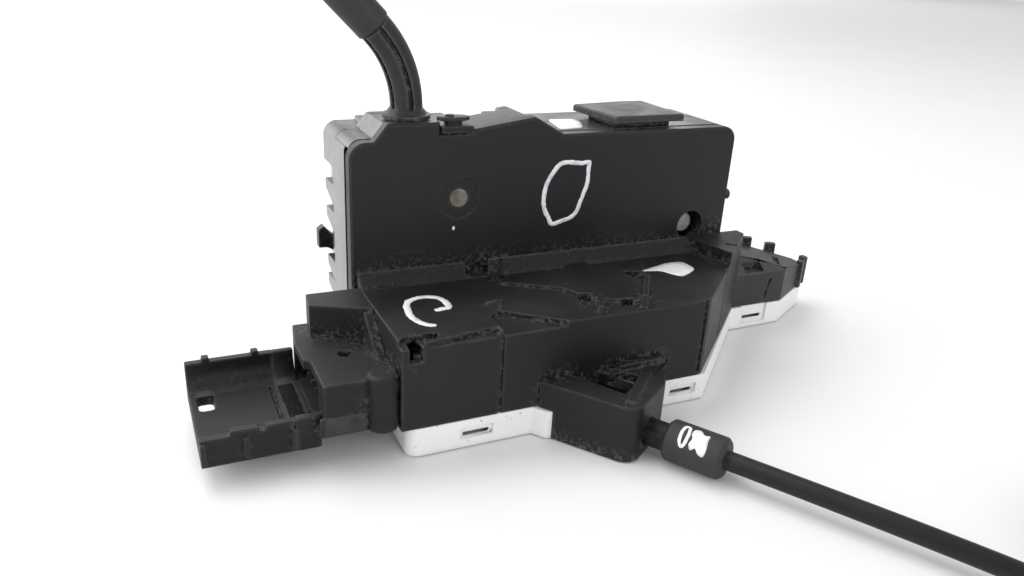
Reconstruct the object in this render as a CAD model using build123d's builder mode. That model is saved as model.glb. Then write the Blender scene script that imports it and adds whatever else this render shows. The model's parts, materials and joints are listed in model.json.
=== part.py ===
from build123d import *
import math
import os

# A vehicle door latch with its lock drive, lying on the back of its base shell.
# Lengths are in millimetres. Places are given from the base shell's front left
# foot corner: x to the right along the front wall, y away from it, z up.

# ---- base shell
base_height = 7.2
base_wall = 1.6
base_floor = 1.6
base_corner_radius = 3.0
front_length = 79.6
slant_run = 34.0
slant_rise = 31.6
bulge_left = 32.5
bulge_right = 61.0
bulge_depth = 3.4
bulge_slant = 2.5
catch_width = 8.0
catch_places = (12.4, 69.0)
catch_depth = 0.7
window_left = 118.0
window_right = 127.5

# ---- lock mechanism cover, the low deck in front
deck_top = 28.0
deck_wall = 2.0
deck_length = 78.0
slit_x = 95.7
slit_y = 15.3
seam_place = 21.3
seam_width = 0.8
ramp_top = 31.4
ramp_foot = 30.4
panel_rise = 0.8
recess_depth = 1.2
notch_depth = 1.6
end_block_top = 31.6
end_block_left = 94.7

# ---- latch box behind the deck
box_left = -2.7
box_right = 107.8
box_front = 35.0
box_depth = 28.0
box_top = 62.5
box_corner_radius = 4.0
crest_x = 44.5
crest_top = 67.1
crest_depth = 19.0
shoulder_left = 3.2
shoulder_right = 19.3
shoulder_top = 66.6
clip_notch_right = 27.8
clip_notch_floor = 63.9
clip_block = 1.7
clip_neck = 1.0
clip_head = 0.9
front_plate = 2.0
front_rim = 1.5
rim_wall = 2.2
cover_bevel = 0.5
pin_dish_radius = 5.3
pin_dish_depth = 0.3
gasket_thickness = 1.0
gasket_width = 0.9
gasket_inset = 0.8
shell_wall = 2.0
shell_inset = 0.5
hump_left = 6.0
hump_right = 49.0
hump_top = 63.5
hump_roof = 1.0
waist_inset = 2.5
waist_top = 52.5
rib_heights = (48.0, 40.6, 27.0, 21.6)
rib_reach = 8.4
side_hook_reach = 3.0

# ---- steel latch plate with the striker mouth
plate_thickness = 2.0
plate_corner_radius = 6.0
plate_margin = 2.2
mouth_left = 30.0
mouth_right = 41.5
mouth_bottom = 38.5
mouth_clear = 0.3
guard_thickness = 1.3
buffer_height = 5.0
collar_radius = 5.0
collar_bore = 2.5
collar_length = 3.4
collar_places = ((10.0, 20.0), (64.0, 18.0), (86.0, 52.0))

# ---- claw and pawl
claw_x = 24.4
claw_z = 47.9
claw_thickness = 4.0
claw_small_radius = 14.3
claw_large_radius = 17.5
claw_open_angle = 58.0
claw_pin_radius = 4.0
pin_play = 0.05
pivot_end_radius = 2.4
striker_distance = 11.5
striker_angle = -20.0
striker_slot = 9.6
catch_angle = -62.0
pawl_length = 22.0
pawl_lift = 0.3
catch_play = 0.3
pawl_pin_radius = 3.0
pawl_tip_width = 2.8
pawl_tip_height = 3.0
pawl_strut = 5.0
pawl_hub_radius = 5.6
spring_wire = 0.9

# ---- release train
pin_z = 34.5
pin_x = 95.9
pin_well_radius = 4.3
pin_well_depth = 3.5
train_pin_radius = 1.5
train_play = 0.3
lever_thickness = 2.0
lever_hub_radius = 6.5
lever_arm = 26.0
pawl_drive_arm = 15.0
outer_arm = 22.0
slider_thickness = 2.0
slider_low = 4.0
slider_high = 10.0
inner_x = 53.0
inner_y = 16.9
inner_rear_arm = 24.1
inner_front_arm = 17.0
inner_low = 4.0
inner_thickness = 2.5
inner_pin_radius = 2.5
nipple_radius = 2.0
wire_radius = 0.75

# ---- Bowden cable on the deck's front, towards the inside handle
cable_angle = -59.1
cable_x = 62.0
cable_y = -31.3
cable_z = 5.0
cable_radius = 2.2
boot_length = 14.0
boot_radius = 4.8
boot_chamfer = 0.9
neck_length = 4.1
neck_radius = 3.3
ferrule_inside = 6.0
block_height = 14.0
block_ledge = 1.4
block_left = 31.4
block_right = 66.6
block_slot_depth = 2.5
block_corner_radius = 4.0
trough_width = 5.6
strap_width = 2.6
strap_length = 15.4
lead_length = 62.0
coil_distance = 92.0
coil_radius = 25.0
coil_turns = 2.15

# ---- Bowden cable on the top, towards the outside handle
guide_x = 13.3
guide_y = 42.5
flange_radius = 5.75
flange_height = 2.3
flange_disc = 1.1
flange_collar = 5.0
guide_radius = 3.9
guide_bend = 26.0
guide_turn = 45.0
guide_groove = 1.1
spigot_radius = 3.0
sleeve_radius = 4.3
sleeve_length = 20.0
end_ferrule = 10.0
end_wire = 12.0

# ---- lock drive under the deck
motor_left = 6.0
motor_length = 25.0
motor_width = 20.0
motor_height = 15.0
motor_y = 12.4
motor_z = 18.0
worm_length = 12.0
worm_left = 36.0
worm_pitch = 2.4
worm_radius = 2.6
wheel_teeth = 24
wheel_thickness = 3.0
pinion_module = 1.0
pinion_teeth = 8
rack_height = 3.4
rack_left = 30.0
rack_right = 70.0
rack_width = 2.75
axle_radius = 1.5
carrier_low = 8.2
carrier_thickness = 1.6

# ---- electrical connector
tray_left = -42.0
tray_right = -22.6
tray_front = 5.5
tray_back = 35.5
tray_low = 4.0
tray_floor = 3.5
tray_wall = 2.0
tray_front_top = 10.5
tray_back_top = 14.0
tray_fillet = 4.5
rail_height = 1.0
socket_left = -18.8
socket_step = 1.4
socket_right = -1.5
socket_front = 2.5
socket_back = 34.6
socket_low = 5.0
socket_top = 20.0
socket_wall = 2.4
socket_depth = 14.0
boss_x = -4.85
boss_y = 2.7
boss_radius = 3.3
boss_low = 8.0
boss_top = 21.2
boss_dome = 1.0
contact_size = 0.64
contact_pitch = 4.0
contact_row = 11.0

# ---- right end module
module_front = 32.3
module_length = 19.4
module_reach = 150.3
end_hook_reach = 1.6
module_back = 59.8
module_wall = 1.8
module_front_top = 16.6
module_left_top = 22.0
module_right_top = 13.8
module_cavity = 4.6
module_nose_front = 42.0
module_nose_back = 48.0
module_slot_floor = 14.9
module_recess_floor = 16.8
end_hook_top = 16.4

# ---- pad on the box
pad_left = 68.0
pad_right = 91.0
pad_front = 37.2
pad_back = 59.0
pad_top = 66.0
pad_thickness = 1.9

# ---- places that follow
case_top = base_height
plate_front = box_front + box_depth
plate_back = plate_front + plate_thickness
cover_back = box_front + front_plate + front_rim
shell_front = cover_back + gasket_thickness
shell_left = box_left + shell_inset
shell_right = box_right - shell_inset
shell_inner_back = plate_front - shell_wall
claw_back = shell_inner_back - 0.5
claw_front = claw_back - claw_thickness
outer_lever_front = shell_front + 2.0
slider_front = outer_lever_front + lever_thickness + 0.5
slider_back = slider_front + slider_thickness
release_front = slider_back + 1.0
release_back = release_front + lever_thickness
guard_front = release_back + 0.7
guard_back = guard_front + guard_thickness
wheel_pitch_radius = wheel_teeth * worm_pitch / (2 * math.pi)
wheel_x = worm_left + worm_length / 2
wheel_y = motor_y + worm_radius + wheel_pitch_radius
wheel_low = motor_z - wheel_thickness / 2
wheel_high = motor_z + wheel_thickness / 2
pinion_radius = pinion_module * pinion_teeth / 2
rack_line = wheel_y + pinion_radius
rack_low = wheel_high + 0.5
carrier_high = carrier_low + carrier_thickness
slant_end_x = front_length + slant_run
module_corner = slant_end_x + module_length
module_back_end = box_right + 0.475 * (module_reach - box_right)
cover_slant_end = slant_end_x - 0.2
shell_roof = box_top - shell_wall
tip_radius = claw_large_radius + pawl_lift
tip_angle = math.radians(catch_angle)
tip_x = claw_x + tip_radius * math.cos(tip_angle)
tip_z = claw_z + tip_radius * math.sin(tip_angle)
pawl_x = tip_x - pawl_length * math.sin(tip_angle)
pawl_z = tip_z + pawl_length * math.cos(tip_angle)
drive_pin_x = pin_x - pawl_drive_arm
pawl_tail = math.hypot(drive_pin_x - pawl_x, pin_z - pawl_z)
pawl_tail_angle = math.degrees(math.atan2(pin_z - pawl_z, drive_pin_x - pawl_x))
cable_dx = math.cos(math.radians(cable_angle))
cable_dy = math.sin(math.radians(cable_angle))
hook_x = inner_x + inner_front_arm * cable_dy
hook_y = inner_y - inner_front_arm * cable_dx
guide_top = shoulder_top + flange_height

# ---- the frame: origin at the middle of the footprint, on the ground
front_reach = cable_y - (boot_radius - boot_chamfer) * cable_dx
back_reach = plate_back + side_hook_reach
right_reach = module_reach + end_hook_reach
corner_x = -(tray_left + right_reach) / 2
corner_y = -(front_reach + back_reach) / 2


def spot(x, y, z):
    """A point of the part, from its place beside the base shell's corner."""
    return Vector(corner_x + x, corner_y + y, z)


def level(z):
    """Plane seen from above: sketch x is x, sketch y is y."""
    return Plane(spot(0, 0, z))


def upright(y):
    """Plane seen from the front: sketch x is x, sketch y is z, extrusions come forward."""
    return Plane(origin=spot(0, y, 0), x_dir=(1, 0, 0), z_dir=(0, -1, 0))


def side(x):
    """Plane seen from the right: sketch x is y, sketch y is z, extrusions go right."""
    return Plane(origin=spot(x, 0, 0), x_dir=(0, 1, 0), z_dir=(1, 0, 0))


def pivot(x, z, y, turn=0.0):
    """Plane seen from the front with its origin on a pin, turned counterclockwise."""
    angle = math.radians(turn)
    x_dir = (math.cos(angle), 0, math.sin(angle))
    return Plane(origin=spot(x, y, z), x_dir=x_dir, z_dir=(0, -1, 0))


def along_cable(distance, z=cable_z):
    """Point on the inside cable's axis, measured outwards from the boot's end."""
    return spot(cable_x + distance * cable_dx, cable_y + distance * cable_dy, z)


def across_cable(distance):
    """Plane square to the inside cable's axis, facing outwards."""
    return Plane(origin=along_cable(distance), x_dir=(-cable_dy, cable_dx, 0),
                 z_dir=(cable_dx, cable_dy, 0))


def on_deck(x, y, z, turn):
    """Plane seen from above with its origin at a place and its x turned."""
    angle = math.radians(turn)
    return Plane(origin=spot(x, y, z), x_dir=(math.cos(angle), math.sin(angle), 0), z_dir=(0, 0, 1))


def span(x0, x1, y0, y1, mode=Mode.ADD):
    """Rectangle between two corners in the open sketch."""
    with Locations(((x0 + x1) / 2, (y0 + y1) / 2)):
        Rectangle(x1 - x0, y1 - y0, mode=mode)


def disc(x, y, radius, mode=Mode.ADD):
    """Circle at a place in the open sketch."""
    with Locations((x, y)):
        Circle(radius, mode=mode)


def base_outline():
    """Corners of the base shell seen from above, round from the front left."""
    return [
        (0, 0), (bulge_left - bulge_slant, 0), (bulge_left, -bulge_depth), (bulge_right - 1, -bulge_depth),
        (bulge_right, 0), (front_length, 0), (slant_end_x, slant_rise), (module_corner, slant_rise + 0.4),
        (module_reach, module_nose_front - 0.4), (module_reach, module_nose_back),
        (module_back_end, module_back + 0.2), (box_right, module_back + 0.2), (box_right, plate_front),
        (shell_left, plate_front), (shell_left, box_front + 1), (0, box_front + 1)]


def box_outline():
    """Corners of the box seen from the front, without its rounding."""
    return [
        (box_left, case_top), (box_left, box_top), (shoulder_left, box_top),
        (shoulder_left + 3.3, shoulder_top),
        (shoulder_right, shoulder_top), (shoulder_right, clip_notch_floor),
        (clip_notch_right, clip_notch_floor),
        (clip_notch_right + 0.6, clip_notch_floor + 0.8), (crest_x, crest_top), (crest_x + 8.3, box_top),
        (box_right, box_top), (box_right, case_top)]


def round_box_corners(corners, radius):
    """Round the two top end corners of a box outline in the open sketch."""
    left = corners.sort_by(Axis.X)[:2].sort_by(Axis.Y)[-1]
    right = corners.sort_by(Axis.X)[-2:].sort_by(Axis.Y)[-1]
    fillet([left, right], radius)


def ring_sector(inner, outer, start, end, mode=Mode.SUBTRACT):
    """Part of a ring between two angles, about the open sketch's origin."""
    size = end - start
    with BuildLine(mode=Mode.PRIVATE) as border:
        low = CenterArc((0, 0), inner, start, size)
        high = CenterArc((0, 0), outer, start, size)
        Line(low @ 0, high @ 0)
        Line(low @ 1, high @ 1)
    make_face(border.edges(), mode=mode)


def make_base_shell():
    with BuildPart() as shell:
        with BuildSketch(level(0)) as foot:
            Polygon(*base_outline(), align=None)
            fillet(foot.vertices().sort_by_distance((0, 0, 0))[0], base_corner_radius)
        extrude(amount=base_height)
        with BuildSketch(level(base_floor)):
            add(foot.sketch_local)
            offset(amount=-base_wall, kind=Kind.INTERSECTION, mode=Mode.REPLACE)
        extrude(amount=base_height, mode=Mode.SUBTRACT)
        # snap catches on the front wall: a shallow recess with a slot in it
        for left in catch_places:
            with BuildSketch(upright(catch_depth)):
                span(left, left + catch_width, 2.2, 5.0)
            extrude(amount=catch_depth, mode=Mode.SUBTRACT)
            with BuildSketch(upright(base_wall)):
                span(left + 0.8, left + catch_width - 0.8, 2.6, 3.6)
            extrude(amount=base_wall, mode=Mode.SUBTRACT)
        # window in the front of the right end, with a slot near its foot
        with BuildSketch(upright(slant_rise + 0.4 + catch_depth)):
            span(window_left, window_right, base_floor - 0.2, base_height)
        extrude(amount=catch_depth + 0.6, mode=Mode.SUBTRACT)
        with BuildSketch(upright(slant_rise + 0.4 + base_wall)):
            span(window_left + 1.2, window_right - 1.2, 2.7, 3.7)
        extrude(amount=base_wall, mode=Mode.SUBTRACT)
        # the inside cable's wire goes out through the bulge
        with BuildSketch(across_cable(-28.0)):
            Circle(wire_radius + 0.85)
        extrude(amount=-8.0, mode=Mode.SUBTRACT)
        # pillars for the circuit carrier and the inner lever's boss
        with BuildSketch(level(base_floor)):
            for x in (5.0, 64.0):
                for y in (5.5, 31.0):
                    disc(x, y, 2.0)
        extrude(amount=carrier_low - base_floor)
        with BuildSketch(level(base_floor)):
            disc(inner_x, inner_y, inner_pin_radius + 2.0)
        extrude(amount=inner_low - base_floor - 0.2)
        with BuildSketch(level(base_floor)):
            disc(inner_x, inner_y, inner_pin_radius)
        extrude(amount=base_height, mode=Mode.SUBTRACT)
    return shell.part


def make_mechanism_cover():
    back = box_front - 0.3
    roof = deck_top - deck_wall
    inner_left = socket_right + deck_wall
    slant_slope = slant_rise / (cover_slant_end - deck_length)
    block_x = end_block_left + 3.9
    with BuildPart() as cover:
        with BuildSketch(level(case_top)) as plan:
            Polygon((socket_right, 0), (deck_length, 0), (cover_slant_end, slant_rise),
                    (cover_slant_end, back),
                    (socket_right, back), align=None)
            fillet(plan.vertices().sort_by_distance((deck_length, 0, 0))[0], 2.5)
        extrude(amount=deck_top - case_top)
        # block on the right end, as high as the ramp
        with BuildSketch(level(deck_top)):
            Polygon((end_block_left, back), (block_x, slant_slope * (block_x - deck_length)),
                    (cover_slant_end, slant_rise), (cover_slant_end, back), align=None)
        extrude(amount=end_block_top - deck_top)
        # ramp up to the foot of the box
        with BuildSketch(side(socket_right)):
            Polygon((ramp_foot, deck_top - 0.2), (ramp_foot, deck_top), (back, ramp_top),
                    (back, deck_top - 0.2),
                    align=None)
        extrude(amount=end_block_left + 0.5 - socket_right)
        with BuildSketch(level(case_top)):
            Polygon((inner_left, deck_wall), (deck_length - 0.8, deck_wall),
                    (cover_slant_end - deck_wall, slant_rise + 1.2),
                    (cover_slant_end - deck_wall, back + 1),
                    (inner_left, back + 1), align=None)
        extrude(amount=roof - case_top, mode=Mode.SUBTRACT)
        # seams and grooves on the walls
        with BuildSketch(upright(0.6)):
            span(seam_place, seam_place + seam_width, case_top, deck_top)
            span(deck_length - 1.6, deck_length - 0.6, case_top + 1.2, deck_top)
        extrude(amount=0.6, mode=Mode.SUBTRACT)
        with BuildSketch(on_deck(slit_x, slit_y + 0.5, case_top, 42.0)):
            Rectangle(1.0, 1.6)
        extrude(amount=deck_top - case_top, mode=Mode.SUBTRACT)
        # raised panel with stepped back edge, fins and tabs
        with BuildSketch(level(deck_top)):
            Polygon((31.8, 24.6), (44.7, 17.1), (48.7, 9.2), (59.9, 3.0), (75.5, 27.3), (60.4, 27.4),
                    (59.3, 31.4), (53.2, 30.6), (48.7, 25.9), (39.2, 24.8), align=None)
        extrude(amount=panel_rise)
        with BuildSketch(on_deck(62.9, 6.9, deck_top - 0.2, 55.0)):
            Rectangle(14.5, 1.6)
        extrude(amount=ramp_top - deck_top + 0.2)
        with BuildSketch(on_deck(34.0, 30.7, deck_top - 0.2, 52.0)):
            Rectangle(9.0, 1.1)
        extrude(amount=ramp_top - deck_top - 0.2)
        with BuildSketch(on_deck(49.6, 5.6, deck_top - 0.2, 59.5)):
            Rectangle(9.0, 1.5)
        extrude(amount=1.8)
        with BuildSketch(level(deck_top - 0.2)):
            Polygon((22.9, 14.3), (27.7, 15.6), (28.3, 14.9), (26.3, 10.6), (25.3, 11.0), (26.8, 14.3),
                    align=None)
        extrude(amount=1.0)
        # slots and hooks of the panel
        with BuildSketch(level(deck_top + panel_rise)):
            Polygon((66.3, 22.4), (71.2, 19.4), (66.8, 12.8), (64.4, 14.2), align=None)
            Polygon((55.9, 6.3), (58.5, 5.4), (56.6, 2.8), (54.3, 3.8), align=None)
            Polygon((46.9, 12.4), (50.4, 11.2), (47.6, 7.4), (44.2, 5.1), align=None)
        extrude(amount=-panel_rise - recess_depth, mode=Mode.SUBTRACT)
        # recess in the ramp, dark pocket beside the connector, slots and the scoop at the front
        with BuildSketch(level(deck_top + 0.4)):
            Polygon((25.4, 31.4), (26.4, back), (32.6, back), (31.2, 30.2), align=None)
            Polygon((socket_right + 0.6, 31.2), (4.5, 27.6), (7.6, 31.6), align=None)
        extrude(amount=ramp_top - deck_top, mode=Mode.SUBTRACT)
        with BuildSketch(level(deck_top)):
            Polygon((seam_place + seam_width, -1), (seam_place + seam_width, 8.6), (25.3, 10.4),
                    (37.8, 0.7),
                    (37.8, -1), align=None)
            span(4.2, 7.8, 2.6, 3.9)
            Polygon((4.6, -1), (seam_place, -1), (seam_place, 2.8), (4.6, 0.2), align=None)
            Polygon((socket_right - 1, -1), (3.2, -1), (4.4, 3.7), (1.0, 4.9), (socket_right - 1, 1.4),
                    align=None)
        extrude(amount=-recess_depth, mode=Mode.SUBTRACT)
        with BuildSketch(level(end_block_top)):
            Polygon((102.0, 25.6), (104.9, 23.6), (104.2, 22.7), (101.4, 24.6), align=None)
        extrude(amount=-notch_depth, mode=Mode.SUBTRACT)
        # axle boss under the roof
        with BuildSketch(level(roof)):
            disc(wheel_x, wheel_y, axle_radius + 1.6)
        extrude(amount=-1.4)
        with BuildSketch(level(roof - 1.4)):
            disc(wheel_x, wheel_y, axle_radius + pin_play)
        extrude(amount=2.2, mode=Mode.SUBTRACT)
    return cover.part


def make_front_cover():
    rim_front = box_front + front_plate
    with BuildPart() as cover:
        with BuildSketch(upright(rim_front)) as face:
            Polygon(*box_outline(), align=None)
            round_box_corners(face.vertices(), box_corner_radius)
        extrude(amount=front_plate)
        chamfer(cover.faces().sort_by(Axis.Y)[0].edges(), cover_bevel)
        with BuildSketch(upright(cover_back)):
            add(face.sketch_local)
            offset(amount=-rim_wall, kind=Kind.INTERSECTION, mode=Mode.SUBTRACT)
            span(box_left + rim_wall, box_right - rim_wall, case_top, case_top + rim_wall,
                 mode=Mode.SUBTRACT)
        extrude(amount=front_rim)
        # shallow dish around the end of the claw pin
        with BuildSketch(upright(box_front + pin_dish_depth)):
            disc(claw_x, claw_z, pin_dish_radius)
        extrude(amount=pin_dish_depth, mode=Mode.SUBTRACT)
        with BuildSketch(upright(rim_front)):
            disc(claw_x, claw_z, pivot_end_radius + pin_play)
            disc(pin_x, pin_z, pin_well_radius)
        extrude(amount=front_plate, mode=Mode.SUBTRACT)
        # collar round the well of the release pin
        with BuildSketch(upright(cover_back)):
            disc(pin_x, pin_z, pin_well_radius + 1.6)
            disc(pin_x, pin_z, pin_well_radius, mode=Mode.SUBTRACT)
        extrude(amount=front_rim)
        with BuildSketch(side(box_right)):
            disc(box_front + 1.6, 42.6, 1.5)
        extrude(amount=1.2)
    return cover.part


def make_cover_gasket():
    with BuildPart() as gasket:
        with BuildSketch(upright(shell_front)) as face:
            Polygon(*box_outline(), align=None)
            round_box_corners(face.vertices(), box_corner_radius)
            offset(amount=-shell_inset - gasket_inset, kind=Kind.INTERSECTION, mode=Mode.REPLACE)
            offset(amount=-gasket_width, kind=Kind.INTERSECTION, mode=Mode.SUBTRACT)
            span(box_left + 2.2, box_right - 2.2, case_top, case_top + 3, mode=Mode.SUBTRACT)
        extrude(amount=gasket_thickness)
    return gasket.part


def whole_shell():
    """The rear shell together with the front of its roof."""
    inner_left = shell_left + shell_wall
    inner_right = shell_right - shell_wall
    waist_left = shell_left + waist_inset
    crest_back = box_front + crest_depth
    with BuildPart() as shell:
        with BuildSketch(upright(plate_front)) as full:
            span(shell_left, shell_right, case_top, box_top)
            round_box_corners(full.vertices(), box_corner_radius - shell_inset)
        extrude(amount=plate_front - shell_front)
        # raised front part of the roof, with the crest
        with BuildSketch(upright(crest_back)):
            Polygon(*box_outline(), align=None)
            offset(amount=-shell_inset, kind=Kind.INTERSECTION, mode=Mode.REPLACE)
            span(box_left, box_right, case_top, box_top - 1, mode=Mode.SUBTRACT)
            span(crest_x + 8.3, box_right, case_top, crest_top, mode=Mode.SUBTRACT)
            span(box_left, shoulder_left + 0.8, case_top, crest_top, mode=Mode.SUBTRACT)
        extrude(amount=crest_back - shell_front)
        with BuildSketch(upright(plate_front)):
            span(hump_left, hump_right, box_top - 1, hump_top)
        extrude(amount=plate_front - crest_back)
        # the cavity, open to the front and to the base shell
        with BuildSketch(upright(shell_inner_back)):
            span(inner_left, inner_right, 0, shell_roof)
        extrude(amount=shell_inner_back - shell_front, mode=Mode.SUBTRACT)
        with BuildSketch(upright(shell_inner_back)):
            span(hump_left + shell_wall, hump_right - shell_wall, shell_roof, hump_top - hump_roof)
        extrude(amount=shell_inner_back - crest_back - shell_wall, mode=Mode.SUBTRACT)
        with BuildSketch(upright(guard_front - 1.0)):
            span(hump_left + 4.0, crest_x + 1.0, shell_roof, box_top - 0.6)
        extrude(amount=guard_front - 1.0 - shell_front, mode=Mode.SUBTRACT)
        # waist of the left wall and the ribs that fill it
        with BuildSketch(upright(plate_front)):
            span(shell_left, waist_left, case_top, waist_top)
        extrude(amount=plate_front - crest_back, mode=Mode.SUBTRACT)
        with BuildSketch(upright(plate_front)):
            span(waist_left, waist_left + shell_wall - 0.5, case_top, waist_top + 1.5)
        extrude(amount=plate_front - crest_back + 1.0)
        with BuildSketch(upright(crest_back)):
            span(shell_left, waist_left + shell_wall - 0.5, case_top, waist_top + 1.5)
        extrude(amount=1.5)
        for height in rib_heights:
            with BuildSketch(side(shell_left)):
                Polygon((crest_back, height), (crest_back + rib_reach, height - 0.2),
                        (crest_back + rib_reach - 0.6, height - 3.0), (crest_back, height - 5.6),
                        align=None)
            extrude(amount=waist_inset)
        # the striker's mouth, open to the back and the top
        with BuildSketch(upright(plate_back)):
            span(mouth_left, mouth_right, mouth_bottom + 2, crest_top + 1)
            disc(mouth_left + 3, mouth_bottom + 3, 3)
            disc(mouth_right - 3, mouth_bottom + 3, 3)
            span(mouth_left + 3, mouth_right - 3, mouth_bottom, mouth_bottom + 4)
        extrude(amount=plate_back - guard_back, mode=Mode.SUBTRACT)
        # bores for the pins, the collars and the cable guide
        with BuildSketch(upright(plate_front)):
            disc(claw_x, claw_z, claw_pin_radius + pin_play)
            disc(pin_x, pin_z, pawl_pin_radius + pin_play)
            disc(pawl_x, pawl_z, pawl_pin_radius + pin_play)
            for x, z in collar_places:
                disc(x, z, collar_radius + 0.2)
        extrude(amount=shell_wall + 1, mode=Mode.SUBTRACT)
        with BuildSketch(level(shell_roof - 1)):
            disc(guide_x, guide_y, spigot_radius + 0.1)
        extrude(amount=shoulder_top - box_top + shell_wall + 2, mode=Mode.SUBTRACT)
    return shell.part


def make_rear_shell():
    with BuildPart() as shell:
        add(whole_shell())
        with BuildSketch(upright(guard_back)):
            span(box_left, box_right, shell_roof, crest_top + 1)
        extrude(amount=guard_back - box_front, mode=Mode.SUBTRACT)
    return shell.part


def make_roof_front():
    """Front of the roof with the crest, joined to the rear shell in front of the striker's mouth."""
    with BuildPart() as roof:
        add(whole_shell())
        with BuildSketch(upright(guard_back)):
            span(box_left, box_right, shell_roof, crest_top + 1)
        extrude(amount=guard_back - box_front, mode=Mode.INTERSECT)
    return roof.part


def make_striker_guard():
    """Wall between the striker's channel and the release levers, under the shell's roof."""
    with BuildPart() as guard:
        with BuildSketch(upright(guard_back)):
            span(mouth_left - 0.6, mouth_right + 1.5, mouth_bottom - buffer_height - 1.5, shell_roof)
        extrude(amount=guard_thickness)
    return guard.part


def make_latch_plate():
    with BuildPart() as plate:
        with BuildSketch(upright(plate_back)) as face:
            span(shell_left + plate_margin, shell_right - plate_margin, case_top + 2, box_top - 0.5)
            fillet(face.vertices(), plate_corner_radius)
        extrude(amount=plate_thickness)
        with BuildSketch(upright(plate_back)):
            Polygon((mouth_left, mouth_bottom + 5), (mouth_left, box_top - 5),
                    (mouth_left - 4, box_top + 1),
                    (mouth_right + 4, box_top + 1), (mouth_right, box_top - 5),
                    (mouth_right, mouth_bottom + 5),
                    align=None)
            with Locations(((mouth_left + mouth_right) / 2, mouth_bottom + 5.75)):
                Circle((mouth_right - mouth_left) / 2)
            span(mouth_left, mouth_right, mouth_bottom + 5.7, mouth_bottom + 8)
        extrude(amount=plate_thickness, mode=Mode.SUBTRACT)
        # threaded collars, welded to the plate's inner face
        with BuildSketch(upright(plate_front)):
            for x, z in collar_places:
                disc(x, z, collar_radius)
        extrude(amount=collar_length)
        with BuildSketch(upright(plate_back)):
            for x, z in collar_places:
                disc(x, z, collar_bore)
            disc(claw_x, claw_z, claw_pin_radius - 1 + pin_play)
            disc(pin_x, pin_z, pawl_pin_radius - 1 + pin_play)
            disc(pawl_x, pawl_z, pawl_pin_radius - 1 + pin_play)
        extrude(amount=plate_thickness + collar_length, mode=Mode.SUBTRACT)
    return plate.part


def turned_pin(x, z, steps):
    """Pin along y from (radius, y) steps, front to back."""
    profile = [(0, steps[0][1])]
    for radius, place in steps:
        profile.append((radius, place))
    profile.append((0, steps[-1][1]))
    axis = Axis(spot(x, 0, z), (0, 1, 0))
    with BuildPart() as pin:
        with BuildSketch(Plane(origin=spot(x, 0, z), x_dir=(1, 0, 0), z_dir=(0, 0, 1))):
            Polygon(*profile, align=None)
        revolve(axis=axis)
    return pin.part


def make_claw_pin():
    shoulder = cover_back - 0.4
    return turned_pin(claw_x, claw_z, [
        (pivot_end_radius, box_front), (pivot_end_radius, shoulder), (claw_pin_radius, shoulder),
        (claw_pin_radius, plate_front), (claw_pin_radius - 1, plate_front),
        (claw_pin_radius - 1, plate_back),
        (claw_pin_radius + 0.5, plate_back), (claw_pin_radius, plate_back + 0.9)])


def make_release_pin():
    return turned_pin(pin_x, pin_z, [
        (pawl_pin_radius - 0.3, box_front + pin_well_depth),
        (pawl_pin_radius, box_front + pin_well_depth + 0.3),
        (pawl_pin_radius, plate_front), (pawl_pin_radius - 1, plate_front),
        (pawl_pin_radius - 1, plate_back),
        (pawl_pin_radius + 0.5, plate_back), (pawl_pin_radius, plate_back + 0.8)])


def make_pawl_pin():
    return turned_pin(pawl_x, pawl_z, [
        (pawl_pin_radius, guard_back), (pawl_pin_radius, plate_front), (pawl_pin_radius - 1, plate_front),
        (pawl_pin_radius - 1, plate_back), (pawl_pin_radius + 0.5, plate_back),
        (pawl_pin_radius, plate_back + 0.8)])


def make_claw():
    """Forked claw, drawn in its latched frame and set in its open position."""
    with BuildPart() as claw:
        with BuildSketch(pivot(claw_x, claw_z, claw_back, claw_open_angle)):
            Circle(claw_small_radius)
            ring_sector(claw_small_radius - 2, claw_large_radius, catch_angle - 34, striker_angle + 6,
                        Mode.ADD)
            # slot for the striker
            angle = math.radians(striker_angle)
            middle = (striker_distance * math.cos(angle), striker_distance * math.sin(angle))
            with Locations(middle):
                Circle(striker_slot / 2, mode=Mode.SUBTRACT)
            with Locations(Location(Vector(*middle), striker_angle)):
                Rectangle(2 * claw_large_radius, striker_slot, align=(Align.MIN, Align.CENTER),
                          mode=Mode.SUBTRACT)
            # catches for the pawl: full latch and half latch
            ring_sector(claw_small_radius - 0.6, claw_large_radius + 2, catch_angle, catch_angle + 12)
            ring_sector(claw_small_radius - 0.6, claw_large_radius + 2, catch_angle - 26, catch_angle - 8)
            # recess that the switch plunger falls into when the claw is shut
            ring_sector(claw_small_radius - 1.2, claw_small_radius + 1, 172, 190)
            Circle(claw_pin_radius + pin_play, mode=Mode.SUBTRACT)
        extrude(amount=claw_thickness)
    return claw.part


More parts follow.
